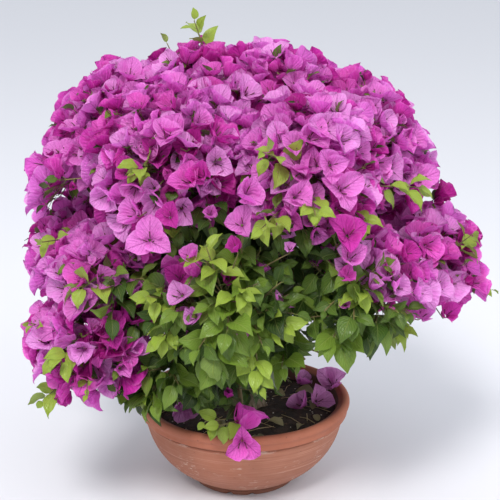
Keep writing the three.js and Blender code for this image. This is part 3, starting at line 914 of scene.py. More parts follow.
# Each mass's bough leaves its stem low and bends out to where the mass begins
def buildBoughs():
    bm = bmesh.new()
    for k, mass in enumerate(masses):
        stem = stems[mass["stem"]]["curve"]
        share = min(0.97, mass["start"] + spread(k * 2.3, 0.07))
        foot = stem.at(share)
        tip = entryOf(k, foot)
        leaving = stem.heading(share) * np.linalg.norm(tip - foot) * 0.45
        mass["boughCurve"] = Bend(foot, foot + leaving, tip)
        mass["heading"] = mass["boughCurve"].heading(1.0)
        mass["root"] = tip + mass["heading"] * crown["gap"]
        drawLimb(bm, mass["boughCurve"], lambda t, s=k * 7.7: boughRadius(t, s), *wood["boughSteps"])
    bm.normal_update()
    for vert in bm.verts:
        p = vert.co
        ridge = noise.noise((p.x * 260, p.y * 260, p.z * 60)) + 0.7 * noise.noise(p * 70)
        vert.co += vert.normal * wood["ridges"] * ridge
    piece = objectFrom("boughs", bm, youngBarkMaterial())
    dress(piece, "young_bark", *[f"bough_{mass['side']}" for mass in masses])


buildBoughs()
print("boughs are grown")


# Twigs, flowers and leaves

growth = {
    "leaders": 9,
    "fewLeaders": 3,  # in a small mass
    "smallHalf": 0.06,  # a mass is small if it reaches less than this from its middle
    "tries": 800,  # evenly spread directions tried in each mass
    "shells": (1.0, 1.0, 0.62, 1.0, 0.93, 0.78),  # how far out the sprays reach, in turn
    "deep": 0.85,  # sprays that reach less far than this are thin, with dark leaves as painted shade
    "sprayReach": {"bloom": 0.054, "leaf": 0.040},  # how far a spray reaches past its twig's tip
    "spacing": {"bloom": 0.0375, "leaf": 0.046},  # least distance from tip to tip
    "innerSpacing": 0.052,
    "innerSide": -0.35,  # how far round a mass its sprays go
    "deepSide": -1.0,
    "hang": 0.056,  # how far below its tip a spray's leaves hang
    "flowers": (3, 4),  # on one spray
    "tufts": 0.22,  # share of the blossom sprays with young leaves at their tips
    "bract": 0.032,  # its length
    "tressBract": 0.036,
    "flare": 44,  # how far an open flower's bracts lean out, in degrees
    "buds": 0.12,  # share of the flowers that are buds
    "budSize": 0.5,
    "budFlare": 16,
    "young": 0.36,  # share of the flowers that are buds or half open
    "youngSize": 0.76,
    "youngFlare": 32,
    "frontSmall": 0.025,  # flowers in front with shorter bracts than this are half open
    "frontFlare": 24,
    "tone": 1.45,  # the usual tone of a spray that lies level
    "paintedLightUp": 0.8,  # painted light: how much paler it is where it points up
    "toneSpread": 1.3,
    "leaf": 0.044,
    "leafWidth": 0.68,  # share of its length
    "leafLean": 58,  # how far a leaf leans out from its twig, in degrees
    "tipLean": 24,  # and the youngest, at the twig's tip
    "stalkTip": 0.0007,  # radius where a flower's stalk ends
    "leafStalk": (0.0007, 0.0005),  # radius at its foot and at its tip
    "twig": (0.0015, 0.0009),
}
# The height of the line between blossom above and leaves below, by the turn round the crown
bloomLine = {
    -180: 0.47, -120: 0.40, -88: 0.37, -65: 0.35, -50: 0.37, -40: 0.44, -28: 0.53, -16: 0.595,
    0: 0.61, 20: 0.605, 34: 0.54, 46: 0.45, 56: 0.40, 72: 0.40, 90: 0.42, 140: 0.46, 180: 0.47,
}
# How blossom gives way to leaves at that line
bloomFall = {
    "tress": 0.96,  # share of blossom in the clusters at the sides
    "high": 0.98,  # far above the line
    "low": 0.07,  # far below it, where a few flowers stand among the leaves
    "depth": 0.05,  # in steps of this height
    "steepness": 1.7,
    "hanging": 0.1,  # so near above the lowest leaves there is no blossom
}
# The lowest that leaves hang, by the turn
skirtLine = {
    -180: 0.25, -120: 0.29, -80: 0.34, -62: 0.33, -56: 0.28, -52: 0.23, -48: 0.19, -30: 0.18,
    -12: 0.18, 8: 0.21, 20: 0.33, 90: 0.335, 130: 0.28, 180: 0.25,
}
# The highest that tips of blossom sprays lie, by the place from left to right
crownLine = {
    -0.375: 0.46, -0.355: 0.56, -0.34: 0.63, -0.31: 0.695, -0.255: 0.755, -0.2: 0.785,
    0: 0.80, 0.12: 0.808, 0.165: 0.788, 0.235: 0.735, 0.295: 0.655, 0.35: 0.565, 0.44: 0.46,
}
# Young shoots with bright leaves in front of the rest: where each one's tip is
youngShoots = [
    (-0.005, -0.31, 0.372), (0.000, -0.378, 0.495), (0.066, -0.345, 0.424), (0.109, -0.372, 0.608),
    (-0.055, -0.376, 0.560), (0.175, -0.330, 0.470), (-0.150, -0.340, 0.470), (0.030, -0.360, 0.330),
    (0.262, -0.225, 0.372), (-0.165, -0.235, 0.255), (-0.30, -0.315, 0.352), (-0.340, -0.225, 0.245),
    (0.392, -0.120, 0.508), (-0.165, -0.300, 0.660), (0.030, -0.330, 0.695), (0.290, -0.200, 0.610),
    (0.190, -0.300, 0.570), (0.030, -0.375, 0.590), (-0.130, -0.345, 0.400),
]
# Single flowers among the leaves in front: where each one is, and the length of its bracts
frontFlowers = [
    (0.004, -0.342, 0.631, 0.038), (-0.080, -0.333, 0.649, 0.034), (-0.058, -0.335, 0.657, 0.030),
    (-0.141, -0.355, 0.564, 0.038), (-0.077, -0.367, 0.540, 0.024), (-0.009, -0.371, 0.553, 0.022),
    (-0.050, -0.338, 0.599, 0.022), (-0.001, -0.349, 0.586, 0.030), (-0.094, -0.342, 0.471, 0.028),
    (-0.091, -0.333, 0.435, 0.020), (-0.100, -0.316, 0.392, 0.020), (0.079, -0.335, 0.626, 0.032),
    (0.149, -0.323, 0.634, 0.038), (0.132, -0.323, 0.673, 0.032), (0.159, -0.344, 0.568, 0.038),
    (0.162, -0.356, 0.534, 0.032), (0.158, -0.353, 0.503, 0.024), (0.071, -0.370, 0.553, 0.016),
    (0.160, -0.327, 0.450, 0.015), (-0.162, -0.328, 0.596, 0.032), (0.274, -0.242, 0.446, 0.032),
    (0.322, -0.187, 0.433, 0.034), (0.297, -0.201, 0.385, 0.028), (0.268, -0.225, 0.393, 0.020),
    (0.297, -0.221, 0.517, 0.034), (0.255, -0.261, 0.515, 0.030), (0.345, -0.163, 0.375, 0.030),
    (-0.111, -0.332, 0.594, 0.026),
]
# Blossom sprays that close the notch between the upper masses and those at the waist
sideSprays = [
    (-0.346, -0.040, 0.599), (-0.329, -0.120, 0.590), (-0.362, 0.020, 0.549), (-0.325, -0.100, 0.631),
    (-0.346, -0.060, 0.546), (-0.303, -0.170, 0.615), (0.310, -0.060, 0.583), (0.337, -0.020, 0.544),
    (-0.327, -0.080, 0.578), (-0.329, -0.020, 0.549),
]
# Dark leaves low inside the bowl, and in the hollow under the blossom in front: painted shade
lowSprays = [
    (-0.100, -0.285, 0.560), (-0.050, -0.300, 0.572), (0.000, -0.300, 0.565), (0.050, -0.300, 0.560),
    (0.100, -0.290, 0.556), (0.145, -0.275, 0.540), (0.180, -0.245, 0.515), (0.060, -0.270, 0.520),
    (0.110, -0.255, 0.500), (-0.020, -0.270, 0.530), (0.150, -0.230, 0.480),
    (0.085, -0.160, 0.345), (0.104, -0.100, 0.335), (0.066, -0.205, 0.335), (-0.205, -0.155, 0.238),
    (-0.183, -0.170, 0.224), (-0.228, -0.140, 0.252), (0.012, -0.140, 0.228), (0.030, -0.126, 0.218),
    (-0.100, -0.110, 0.222), (-0.066, -0.128, 0.206), (-0.040, -0.132, 0.226), (-0.010, -0.120, 0.212),
    (0.018, -0.108, 0.232), (0.040, -0.078, 0.248), (-0.080, -0.150, 0.236), (-0.020, -0.090, 0.250),
]
# The inside of the crown, which dark leaves fill as painted shade: its middle, half sizes and sprays
crownHeart = {
    "middle": np.array([0.0, -0.01, 0.475]),
    "half": np.array([0.18, 0.18, 0.12]),
    "sprays": 60,
    "shells": (1, 0.7, 0.4),
}
# Long shoots that stand out of the crown
longShoots = [
    {"mass": "top_crown", "tip": (-0.086, 0.006, 0.858), "leaves": 11, "size": 0.85},
    {"mass": "top_crown", "tip": (-0.132, -0.020, 0.822), "leaves": 5, "size": 0.6},
    {"mass": "tress_right", "tip": (0.446, -0.040, 0.382), "leaves": 8, "size": 0.6},
    {"mass": "tress_left", "tip": (-0.322, -0.200, 0.238), "leaves": 8, "size": 0.6},
    {"mass": "tress_left", "tip": (-0.345, -0.270, 0.400), "leaves": 8, "size": 0.5},
    {"mass": "tress_left", "tip": (-0.250, -0.330, 0.300), "leaves": 7, "size": 0.45},
    {"mass": "waist_left", "tip": (-0.330, -0.210, 0.520), "leaves": 8, "size": 0.7},
    {"mass": "waist_front_left", "tip": (-0.262, -0.300, 0.470), "leaves": 7, "size": 1.0},
]
# Inner sides of the bracts from pale to deep, dealt partly at random and partly as painted light, and the
# leaves from young to old, whose darker tones also stand for painted shade deep in the crown
bractTones = [
    (252, 172, 244), (248, 144, 232), (242, 110, 214), (222, 72, 188), (194, 46, 156), (228, 154, 216),
]
witheredTone = 5
leafTones = [
    (150, 174, 64), (112, 140, 48), (82, 110, 36), (56, 84, 26), (38, 60, 18), (150, 140, 100),
]
dryTone = 5
deepTone = 4  # the deepest of a live bract or leaf


# The height of a line round the crown on the side where a place is
def lineAt(line, place):
    turn = math.degrees(math.atan2(place[0], -place[1]))
    return np.interp(turn, list(line), list(line.values()))


# Near and far tips count as higher, since the crown falls off to the front and the back
def aboveCrown(tip):
    fall = 0.11 * abs(tip[1]) + 0.4 * max(abs(tip[1]) - 0.15, 0.0)
    return tip[2] + fall > np.interp(tip[0], list(crownLine), list(crownLine.values()))


def bloomShare(mass, tip):
    if "tress" in mass["side"]:
        return bloomFall["tress"]
    rise = (tip[2] - lineAt(bloomLine, tip)) / bloomFall["depth"]
    hanging = tip[2] < lineAt(skirtLine, tip) + bloomFall["hanging"]
    lowest = 0 if hanging or "low" in mass["side"] else bloomFall["low"]
    return lowest + (bloomFall["high"] - lowest) / (1 + math.exp(-bloomFall["steepness"] * rise))


# Shares of the width at shares of the length, one for each row of a blade's corners
bractForm = {
    "outline": [
        (0, 0.24), (0.07, 0.6), (0.2, 0.88), (0.38, 1), (0.58, 1), (0.77, 0.87), (0.91, 0.58), (1, 0.05),
    ],
    "across": 4,
}
leafForm = {
    "outline": [
        (0, 0.16), (0.06, 0.6), (0.18, 0.91), (0.34, 1), (0.52, 0.94), (0.7, 0.67), (0.86, 0.3), (1, 0.02),
    ],
    "across": 4,
}


# A blade one unit long and wide, from a grid: cupped across, arched along, pleated and wavy at its edge
def bladeTemplate(form, shape, seed):
    bm = bmesh.new()
    bm.loops.layers.uv.new("OFBake")
    across = form["across"]
    along = len(form["outline"]) - 1
    bmesh.ops.create_grid(bm, x_segments=across, y_segments=along, size=0.5, calc_uvs=True)
    for vert in bm.verts:
        u = vert.co.x * 2
        v, width = form["outline"][round((vert.co.y + 0.5) * along)]
        wave = shape["wave"] * u * u * noise.noise((u * 1.6 + seed * 5.1, v * 5.2, seed))
        pleat = shape["pleat"] * math.cos(u * math.pi * across / 2) * width
        arch = shape["arch"] * 4 * (v - v * v) - shape["curl"] * max(v - 0.5, 0) ** 2
        fold = (shape["cup"] * u * u + shape["fold"] * abs(u)) * width
        vert.co = (u * width / 2, v, fold + wave + pleat + arch + shape["twist"] * u * (v - 0.3) * width)
    return asTemplate(bm)


def tubeTemplate():
    bm = bmesh.new()
    ring = bmesh.ops.create_circle(bm, cap_ends=False, segments=3, radius=0.06)["verts"]
    edges = edgesAt(ring)
    drawn = bmesh.ops.extrude_edge_only(bm, edges=edges)["geom"]
    ring = [g for g in drawn if isinstance(g, bmesh.types.BMVert)]
    bmesh.ops.translate(bm, vec=(0, 0, 1), verts=ring)
    bmesh.ops.contextual_create(bm, geom=ring)
    return asTemplate(bm)


def bractTemplates():
    return [bladeTemplate(bractForm, {
        "cup": 0.3 + spread(k, 0.12), "fold": 0.02, "arch": spread(k + 1.5, 0.12) - 0.05,
        "curl": 0.35 + spread(k + 2.5, 0.6), "wave": 0.24, "pleat": 0.028, "twist": spread(k + 3.5, 0.18),
    }, k + 1) for k in range(9)]


def leafTemplates():
    return [bladeTemplate(leafForm, {
        "cup": 0.04 + spread(k + 9, 0.07), "fold": 0.07 + spread(k + 4, 0.05),
        "arch": 0.05 + spread(k + 10.5, 0.06),
        "curl": 0.35 + spread(k, 0.45), "wave": 0.1, "pleat": 0.0, "twist": spread(k + 12.5, 0.14),
    }, k + 20) for k in range(8)]


# What has been grown so far, each kind with its own lists
grown = {"twigs": [], "stalks": [], "straws": [], "bracts": [], "leaves": [], "tubes": []}


def growLine(kind, line, thick, thin):
    grown[kind].append((line, thick, thin))


def growBlade(kind, base, along, face, length, width, tone):
    side = unit(np.cross(along, face))
    normal = np.cross(side, along)
    frame = np.array([side * length * width, along * length, normal * length])
    grown[kind].append((base, frame, tone, chanceStream.integers(1000)))


def sideways(axis, turn):
    first = unit(np.cross(axis, up if abs(axis[2]) < 0.9 else np.array([1.0, 0, 0])))
    return first * math.cos(turn) + np.cross(axis, first) * math.sin(turn)


# Three bracts round one axis, each with a slender tube on its inner side
def growFlower(heart, axis, bract, tone, flare=None, turn=None):
    flare = math.radians(growth["flare"]) + jitter(0.3) if flare is None else flare
    turn = jitter(math.pi) if turn is None else turn
    for k in range(3):
        away = sideways(axis, turn + k * 2 * math.pi / 3 + jitter(0.14))
        opening = flare + jitter(0.2)
        along = unit(axis * math.cos(opening) + away * math.sin(opening))
        face = axis * math.sin(opening) - away * math.cos(opening)
        length = bract * (1 + jitter(0.09))
        growBlade("bracts", heart + away * 0.002, along, face, length, 1 + jitter(0.1), tone)
        lean = unit(axis + away * 0.28)
        base = heart + away * 0.11 * bract
        frame = np.array([sideways(lean, 0), sideways(lean, math.pi / 2), lean]) * 0.5 * bract
        grown["tubes"].append((base, frame))


def growLeaf(node, along, face, length, tone):
    start = node + along * length * chanceStream.uniform(0.16, 0.34)
    line = np.array([node, (node + start) / 2 - up * 0.0006, start])
    growLine("stalks", line, *growth["leafStalk"])
    droop = unit(along - up * 0.25)
    if 0 < tone < dryTone:
        tone = int(np.clip(tone + chanceStream.choice([-1, -1, 0, 0, 1]), 1, deepTone))
    growBlade("leaves", start, droop, face, length, growth["leafWidth"] * (1 + jitter(0.1)), tone)


# Leaves that alternate along the end of a twig, larger at its foot and young at its tip
def growLeaves(line, count, first, size, tone, hang):
    turn = jitter(math.pi)
    for k in range(count):
        share = 1 - (1 - first) * k / max(count - 1, 1) - abs(jitter(0.03))
        node = line.at(share)
        heading = line.heading(share)
        turn += goldenAngle
        opening = math.radians(growth["tipLean"] if k == 0 else growth["leafLean"]) + jitter(0.3)
        away = sideways(heading, turn)
        light = unit(node - crown["heart"])
        lift = light * 0.25 - up * (hang + jitter(0.3))
        along = unit(heading * math.cos(opening) + away * math.sin(opening) + lift)
        face = up * 0.55 + light * 0.7 + jitter(0.65, 3)
        youth = 0.6 + 0.4 * min(k / 2.5, 1)
        growLeaf(node, along, face, size * youth * (1 + jitter(0.2)), tone)


def growTwig(mass, tip, bow=0.004):
    leader = min(mass["leaders"], key=lambda l: np.linalg.norm(l.at(0.8) - tip))
    shares = np.linspace(0.25, 0.95, 8)
    best = shares[np.argmin(np.linalg.norm(leader.at(shares) - tip, axis=1))]
    start = leader.at(max(best - 0.18, 0.1))
    middle = (start + tip) / 2 + up * bow + jitter(0.006, 3)
    line = Bend(start, middle, tip)
    growLine("twigs", line.at(np.linspace(0, 1, 5)), *growth["twig"])
    return line


def growStalk(node, heart, sag=0.0, thick=0.0008):
    growLine("stalks", np.array([node, (node + heart) / 2 - up * sag, heart]), thick, growth["stalkTip"])


# A spray's tone: paler where it points up, as painted light, with a random spread
def bractTone(axis):
    usual = growth["tone"] - growth["paintedLightUp"] * axis[2]
    return int(np.clip(round(chanceStream.normal(usual, growth["toneSpread"])), 0, deepTone))


def growBloomSpray(mass, tip, axis, deep, lone):
    line = growTwig(mass, tip)
    growLeaves(line, 2, 0.5, growth["leaf"] * 0.85, int(chanceStream.choice([1, 2, 3])), 0.1)
    if chanceStream.random() < growth["tufts"]:
        growLeaves(line, 3, 0.85, growth["leaf"] * 0.6, 1, -0.6)
    count = chanceStream.integers(growth["flowers"][0], growth["flowers"][1] + 1)
    count = 1 if lone else count - 2 if deep else count
    bract = growth["tressBract" if "tress" in mass["side"] else "bract"]
    tone = bractTone(axis)
    turn = jitter(math.pi)
    for k in range(count):
        turn += goldenAngle
        away = sideways(axis, turn)
        lean = unit(axis + away * (0.2 if k == 0 else 0.95) + jitter(0.35, 3))
        node = line.at(1 - 0.09 * k)
        heart = node + lean * 0.006 if k == 0 else node + away * (0.013 + 0.004 * k) + lean * 0.006
        growStalk(node, heart, 0.001)
        age = chanceStream.random()
        bud = age < growth["buds"]
        young = age < growth["young"] or lone
        size = growth["budSize"] if bud else growth["youngSize"] if young else 1 + jitter(0.18)
        flare = math.radians(growth["budFlare"] if bud else growth["youngFlare"]) if young else None
        shade = int(np.clip(tone + chanceStream.integers(-1, 2) + bud, 0, deepTone))
        growFlower(heart, lean, bract * size, shade, flare)


def growLeafSpray(mass, tip, deep):
    line = growTwig(mass, tip)
    # Deep inside the crown the leaves take dark tones: painted shade
    if deep:
        growLeaves(line, 7, 0.3, growth["leaf"] * 1.15, int(chanceStream.choice([3, 4])), 0.25)
        return
    shaded = tip[0] < 0 and tip[2] < 0.37
    tone = int(chanceStream.choice([2, 3, 3, 4] if shaded else [1, 1, 2, 2, 3, 3]))
    size = growth["leaf"] * chanceStream.choice([0.7, 0.86, 1.0, 1.15])
    growLeaves(line, 7, 0.25, size, tone, 0.22)


# The crown is flatter on top than its masses: they reach higher away from the middle
def shoulderLift(mass, direction, full):
    if not mass["side"].startswith(("top", "upper")):
        return 0
    aside = min(abs(mass["middle"][0] + full[0] + 0.02) / 0.12, 1.0)
    return crown["shoulder"] * aside * min(max(direction[2] / 0.5, 0.0), 1.0)


def isSmall(mass):
    return mass["half"].min() < growth["smallHalf"]


# The stem of one mass and the leaders that leave it
def growLeaders(index):
    mass = masses[index]
    stemEnd = mass["root"] + (mass["middle"] - mass["root"]) * 0.9
    leaving = mass["root"] + mass["heading"] * 0.4 * np.linalg.norm(stemEnd - mass["root"])
    stem = Bend(mass["root"], leaving, stemEnd)
    growLine("twigs", stem.at(np.linspace(0, 1, 5)), wood["boughTipRadius"], 0.0023)
    mass["leaders"] = [stem]
    leaders = growth["fewLeaders"] if isSmall(mass) else growth["leaders"]
    for k in range(leaders):
        direction = goldenDirection(k, leaders)
        if direction @ mass["facing"] < growth["innerSide"]:
            continue
        end = mass["middle"] + (direction @ mass["axes"].T * mass["half"]) @ mass["axes"] * 0.5
        start = stem.at(0.5 + 0.45 * chance(index * 11 + k))
        line = Bend(start, (start + end) / 2 + up * 0.006 + jitter(0.006, 3), end)
        growLine("twigs", line.at(np.linspace(0, 1, 5)), 0.0022, 0.0016)
        mass["leaders"].append(line)


# The sprays of one mass: directions and shells are tried in turn, and a blocked tip a little further in
def growSprays(index, tips):
    mass = masses[index]
    tries = growth["tries"]
    for k in range(tries):
        direction = goldenDirection(k, tries)
        shell = growth["shells"][k % len(growth["shells"])]
        deep = shell < growth["deep"]
        if direction @ mass["facing"] < growth["deepSide" if deep else "innerSide"]:
            continue
        full = (direction @ mass["axes"].T * mass["half"]) @ mass["axes"] * crown["reach"]
        full = full + up * shoulderLift(mass, direction, full)
        length = np.linalg.norm(full)
        shell += jitter(0.05)
        for attempt in range(4):
            guess = mass["middle"] + full * 0.8
            share = bloomShare(mass, guess)
            kind = "bloom" if chanceStream.random() < share else "leaf"
            tip = mass["middle"] + full * (shell * (1 - growth["sprayReach"][kind] / length) - 0.07 * attempt)
            low = tip[2] < lineAt(skirtLine, tip) + growth["hang"]
            if low or tip[1] < crown["front"] or aboveCrown(tip) or not inSpace(index, tip, crown["outer"]):
                continue
            if tips.nearer(tip, growth["innerSpacing"] if deep else growth["spacing"][kind]):
                continue
            tips.add(tip)
            axis = unit(direction * 0.75 + mass["facing"] * 0.35 + up * 0.7 + jitter(0.45, 3))
            if kind == "bloom":
                growBloomSpray(mass, tip, axis, deep, share < 0.2)
            else:
                growLeafSpray(mass, tip, deep)
            break


# The tips of all twigs so far
class Tips:
    def __init__(self, most):
        self.places = np.zeros((most, 3))
        self.count = 0

    def add(self, tip):
        self.places[self.count] = tip
        self.count += 1

    # Whether one of them lies nearer than the spacing
    def nearer(self, tip, spacing):
        gaps = np.sum((self.places[:self.count] - tip) ** 2, axis=1)
        return self.count > 0 and gaps.min() < spacing ** 2


def nearestMass(tip):
    return masses[int(np.argmin(depths(tip)))]


def massNamed(side):
    return next(mass for mass in masses if mass["side"] == side)


# A leafy twig outside the masses' own order, from the nearest mass
def growLeafyTwig(tip, count, first, size, tone, hang):
    growLeaves(growTwig(nearestMass(tip), tip), count, first, growth["leaf"] * size, tone, hang)


# Single flowers in front, on twigs of their own
def growFrontFlowers():
    for *heart, bract in frontFlowers:
        heart = np.array(heart)
        axis = unit(np.array([heart[0] * 1.5, -0.75, 0.55]) + jitter(0.3, 3))
        line = growTwig(nearestMass(heart), heart - axis * 0.008)
        growStalk(line.at(1.0), heart)
        tone = int(chanceStream.choice([0, 1, 1, 2, 3]))
        flare = math.radians(growth["frontFlare"]) if bract < growth["frontSmall"] else None
        growFlower(heart, axis, bract, tone, flare)


def growCrown():
    tips = Tips(len(masses) * growth["tries"])
    for index, mass in enumerate(masses):
        growLeaders(index)
        if not isSmall(mass):
            growSprays(index, tips)
    shells = crownHeart["shells"]
    for k in range(crownHeart["sprays"]):
        direction = goldenDirection(k, crownHeart["sprays"]) * shells[k % len(shells)]
        growLeafyTwig(crownHeart["middle"] + direction * crownHeart["half"], 7, 0.3, 1.1, 4, 0.2)
    for tip in np.array(lowSprays):
        growLeafyTwig(tip, 6, 0.4, 0.9, 3, 0.3)
    for tip in np.array(sideSprays):
        mass = nearestMass(tip)
        growBloomSpray(mass, tip, unit(mass["facing"] + up * 0.4), False, False)
    growFrontFlowers()
    for tip in np.array(youngShoots):
        growLeafyTwig(tip, 7, 0.55, 0.8, 0, 0.35)
    print("sprays:", tips.count, "flowers:", len(grown["bracts"]) // 3, "leaves:", len(grown["leaves"]))
    for shoot in longShoots:
        line = growTwig(massNamed(shoot["mass"]), np.array(shoot["tip"]), 0.012)
        growLeaves(line, shoot["leaves"], 0.25, growth["leaf"] * shoot["size"], 0, 0.0)


growCrown()

# A stream of its own, so that these few keep their look whatever the crown draws
chanceStream = np.random.default_rng(4)

# The few flowers and bright leaves that hang over the bowl's front rim
frontSprig = {
    "flowers": [  # each one's heart, axis, length of its bracts, flare and turn
        ((-0.006, -0.226, 0.192), (0.42, 0.18, 0.88), 0.048, 28, 180),
        ((-0.002, -0.246, 0.181), (0.05, -0.95, -0.12), 0.036, 56, -90),
    ],
    "leaves": [(-0.044, -0.226, 0.196), (-0.018, -0.232, 0.206), (-0.066, -0.214, 0.202)],
    "bud": ((-0.026, -0.204, 0.244), (0.1, -0.4, 0.8), 0.016, 14),
}


def growFrontSprig():
    mass = massNamed("sprig_front")
    for heart, axis, bract, flare, turn in frontSprig["flowers"]:
        heart, axis = np.array(heart), unit(np.array(axis))
        line = growTwig(mass, heart - axis * 0.014)
        growStalk(line.at(1.0), heart, thick=0.0009)
        growFlower(heart, axis, bract, 2, math.radians(flare), math.radians(turn))
    for place in frontSprig["leaves"]:
        line = growTwig(mass, np.array(place))
        growLeaves(line, 3, 0.6, growth["leaf"] * 0.8, 0, 0.5)
    heart, axis, bract, flare = frontSprig["bud"]
    growFlower(np.array(heart), unit(np.array(axis)), bract, 3, math.radians(flare))
    line = growTwig(mass, np.array(heart))
    growLeaves(line, 4, 0.5, growth["leaf"] * 0.8, 3, 0.3)


# What has fallen on the soil: withered flowers, dry leaves and straws
litter = {
    "flowers": [  # each one's heart, axis and length of its bracts
        ((0.172, 0.046, 0.158), (-0.2, -0.55, 0.8), 0.040),
        ((0.136, -0.004, 0.148), (0.3, -0.6, 0.7), 0.034),
        ((0.112, -0.026, 0.147), (-0.6, -0.3, 0.7), 0.030),
        ((0.106, 0.078, 0.150), (0.5, 0.1, 0.8), 0.030),
        ((0.070, 0.100, 0.152), (-0.4, -0.4, 0.8), 0.028),
        ((-0.112, -0.070, 0.176), (0.1, -0.6, -0.6), 0.036),
    ],
    "flare": 34,
    "dryLeaves": 22,
    "dryLeaf": 0.031,
    "dryLeafWidth": 0.55,
    "straws": 44,
    "straw": 0.034,  # half of its length
}


def growLitter():
    for heart, axis, bract in litter["flowers"]:
        flare = math.radians(litter["flare"])
        growFlower(np.array(heart), unit(np.array(axis)), bract, witheredTone, flare)
    for place in soilPlaces(litter["dryLeaves"], 0.05):
        along = unit(outwards(math.degrees(jitter(math.pi))) + up * (0.2 + jitter(0.3)))
        face = up + jitter(0.9, 3)
        length = litter["dryLeaf"] * (1 + jitter(0.35))
        growBlade("leaves", place + up * 0.004, along, face, length, litter["dryLeafWidth"], dryTone)
    for place in soilPlaces(litter["straws"], 0.06):
        half = outwards(math.degrees(jitter(math.pi))) * litter["straw"] * (1 + jitter(0.5)) * 0.6
        line = np.array([place - half, place, place + half])
        line[:, 2] = [soilTop(x, y) for x, y, _ in line]
        line[:, 2] += (0.001, 0.004, 0.002)
        if np.max(np.hypot(line[:, 0], line[:, 1])) < soilRadius - 0.004:
            growLine("straws", line, 0.0009, 0.0006)


growFrontSprig()
growLitter()
print("the crown is grown")


# Finishes of the crown

bractFinish = {
    "sideVeins": 6.0,
    "slant": 0.55,
    "roughness": 0.5,
    "gloss": 0.25,
    "relief": 0.0026,
    "strength": 0.75,
    "through": 0.46,  # share of the light that comes through
}
leafFinish = {
    "sideVeins": 7.0,
    "slant": 0.5,
    "roughness": 0.33,
    "gloss": 0.5,
    "relief": 0.0018,
    "strength": 0.7,
    "through": 0.28,
}


# Veins from the blade's own map: a midrib, side veins that fan out from it, a net between them, and quilting
def bladeVeins(paint, blade):
    u, v, _ = paint.mapped()
    offside = paint.fold("ABSOLUTE", u - 0.5) * 2
    midrib = paint.ramp(offside, 0.07, 0.015)
    phase = paint.fold("FRACT", (v - offside * blade["slant"]) * blade["sideVeins"])
    ribs = paint.ramp(paint.fold("ABSOLUTE", phase - 0.5), 0.38, 0.48) * paint.ramp(offside, 0.98, 0.6)
    place = paint.joined(u * 1.0, v * 1.2, 0.0)
    cells = {"Vector": place, "Scale": 13.0}
    mesh = paint.ramp(paint.add("ShaderNodeTexVoronoi", {"feature": "DISTANCE_TO_EDGE"}, cells), 0.06, 0.0)
    quilt = paint.fold("ABSOLUTE", phase - 0.5) + paint.noise(place, 7.0, 2) * 0.6
    return offside, v, midrib, ribs, mesh, quilt


def finishBlade(paint, blade, colour, relief):
    normal = paint.bump(relief, blade["relief"], blade["strength"])
    return paint.finish(colour, blade["roughness"], normal, blade["gloss"], blade["through"])


def scaled(colour, red, green, blue):
    return (colour[0] * red, colour[1] * green, colour[2] * blue, 1.0)


def towards(colour, other, amount):
    return tuple(c + (o - c) * amount for c, o in zip(colour[:3], other)) + (1.0,)


# The inner side is paler than the outer: the outer is a darker copy of it, painted shade
def bractMaterial(name, tone):
    paint = Paint(name)
    offside, v, midrib, ribs, net, quilt = bladeVeins(paint, bractFinish)
    inner = tint(tone)
    # Painted shade: the outer side as a darker copy of the inner
    outer = scaled(inner, 0.92, 0.56, 0.88)
    reverse = paint.add("ShaderNodeNewGeometry", output="Backfacing")
    plain = paint.mix(reverse, inner, outer)
    dark = paint.mix(reverse, scaled(inner, 0.5, 0.2, 0.44), scaled(outer, 0.55, 0.4, 0.5))
    veins = paint.fold("MAXIMUM", midrib * 0.6, paint.fold("MAXIMUM", ribs * 0.42, net * 0.2))
    colour = paint.mix(veins, plain, dark)
    # Darker towards the base, where the three bracts meet: painted shade
    colour = paint.mix(paint.ramp(v, 0.26, 0.02) * 0.5, colour, dark)
    # Paler along the edge: a painted highlight
    colour = paint.mix(paint.ramp(offside, 0.8, 1.0) * 0.4, colour, towards(inner, (1.0, 0.78, 1.0), 0.2))
    return finishBlade(paint, bractFinish, colour, quilt + midrib * 0.5 + net * 0.3)


def leafMaterial(name, tone):
    paint = Paint(name)
    offside, v, midrib, ribs, net, quilt = bladeVeins(paint, leafFinish)
    upper = tint(tone)
    lower = towards(scaled(upper, 0.9, 0.9, 0.9), (0.3, 0.36, 0.18), 0.3)
    reverse = paint.add("ShaderNodeNewGeometry", output="Backfacing")
    plain = paint.mix(reverse, upper, lower)
    colour = paint.mix(net * 0.25, plain, scaled(upper, 0.66, 0.7, 0.6))
    veins = paint.fold("MAXIMUM", midrib * 0.75, ribs * 0.4)
    colour = paint.mix(veins, colour, towards(upper, (0.6, 0.66, 0.2), 0.3))
    return finishBlade(paint, leafFinish, colour, quilt * -0.7 + midrib * -0.9 + net * -0.3)


def plainMaterial(finish):
    paint = Paint(finish["finish"])
    patch = paint.noise(paint.place(), finish["grain"], 3)
    first, second = finish["colours"]
    colour = paint.mix(paint.ramp(patch, 0.35, 0.65), tint(first), tint(second))
    return paint.finish(colour, finish["roughness"], paint.bump(patch, 0.0006, 0.6))


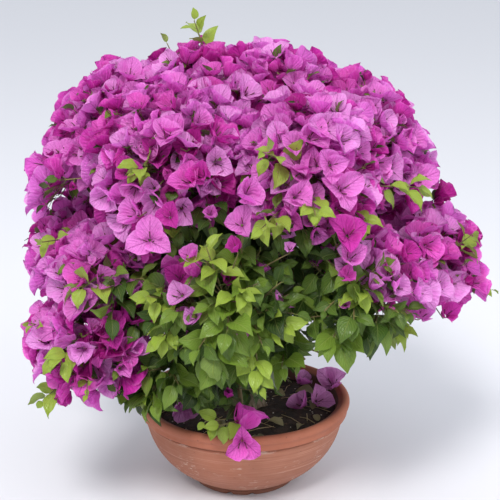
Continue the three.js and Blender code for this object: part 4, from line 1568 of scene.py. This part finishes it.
def bladeSets(blades, templates):
    sets = []
    for k, template in enumerate(templates):
        chosen = [b for b in blades if b[3] % len(templates) == k]
        if chosen:
            bases, frames = (np.array([b[part] for b in chosen]) for part in (0, 1))
            sets.append(repeated(template, bases, frames))
    return sets


def buildBlades(kind, templates, tones, materialOf, label, slot, nodes):
    for tone, colour in enumerate(tones):
        blades = [b for b in grown[kind] if b[2] == tone]
        name = f"{label}_{tone + 1}"
        piece = joinedObject(name, bladeSets(blades, templates), materialOf(name, colour))
        dress(piece, slot, *(nodes if tone == 2 else ()))
        print(name, len(piece.data.polygons), "faces")


thinPieces = [
    {
        "name": "twigs", "sides": 5, "finish": "twigBark", "grain": 60, "roughness": 0.75,
        "colours": [(122, 110, 66), (96, 84, 56)],
    },
    {
        "name": "stalks", "sides": 3, "finish": "greenStalks", "grain": 60, "roughness": 0.6,
        "colours": [(138, 152, 74), (116, 122, 60)],
    },
    {
        "name": "straws", "sides": 3, "finish": "straw", "grain": 60, "roughness": 0.8,
        "colours": [(206, 184, 140), (160, 138, 100)],
    },
]
flowerTubes = {
    "finish": "flowerTubes", "grain": 90, "roughness": 0.6,
    "colours": [(104, 30, 62), (78, 34, 44)],
}


def buildThinPiece(thin):
    lines, thick, slender = zip(*grown[thin["name"]])
    shares = np.linspace(0, 1, len(lines[0]))
    radii = [a + (b - a) * shares for a, b in zip(thick, slender)]
    dress(joinedObject(thin["name"], [tubes(lines, radii, thin["sides"])], plainMaterial(thin)), "young_bark")


def buildCrownPieces():
    bloomNodes = [f"bloom_{m['side']}" for m in masses if m["kind"] == "bloom"]
    leafNodes = [f"leaf_{m['side']}" for m in masses if m["kind"] == "leaf"]
    buildBlades("bracts", bractTemplates(), bractTones, bractMaterial, "bracts", "bracts", bloomNodes)
    buildBlades("leaves", leafTemplates(), leafTones, leafMaterial, "leaves", "leaves", leafNodes)
    for thin in thinPieces:
        buildThinPiece(thin)
    bases, frames = (np.array(part) for part in zip(*grown["tubes"]))
    tubeSets = [repeated(tubeTemplate(), bases, frames)]
    dress(joinedObject("flower_tubes", tubeSets, plainMaterial(flowerTubes)), "bracts")


buildCrownPieces()
print("the crown is finished")
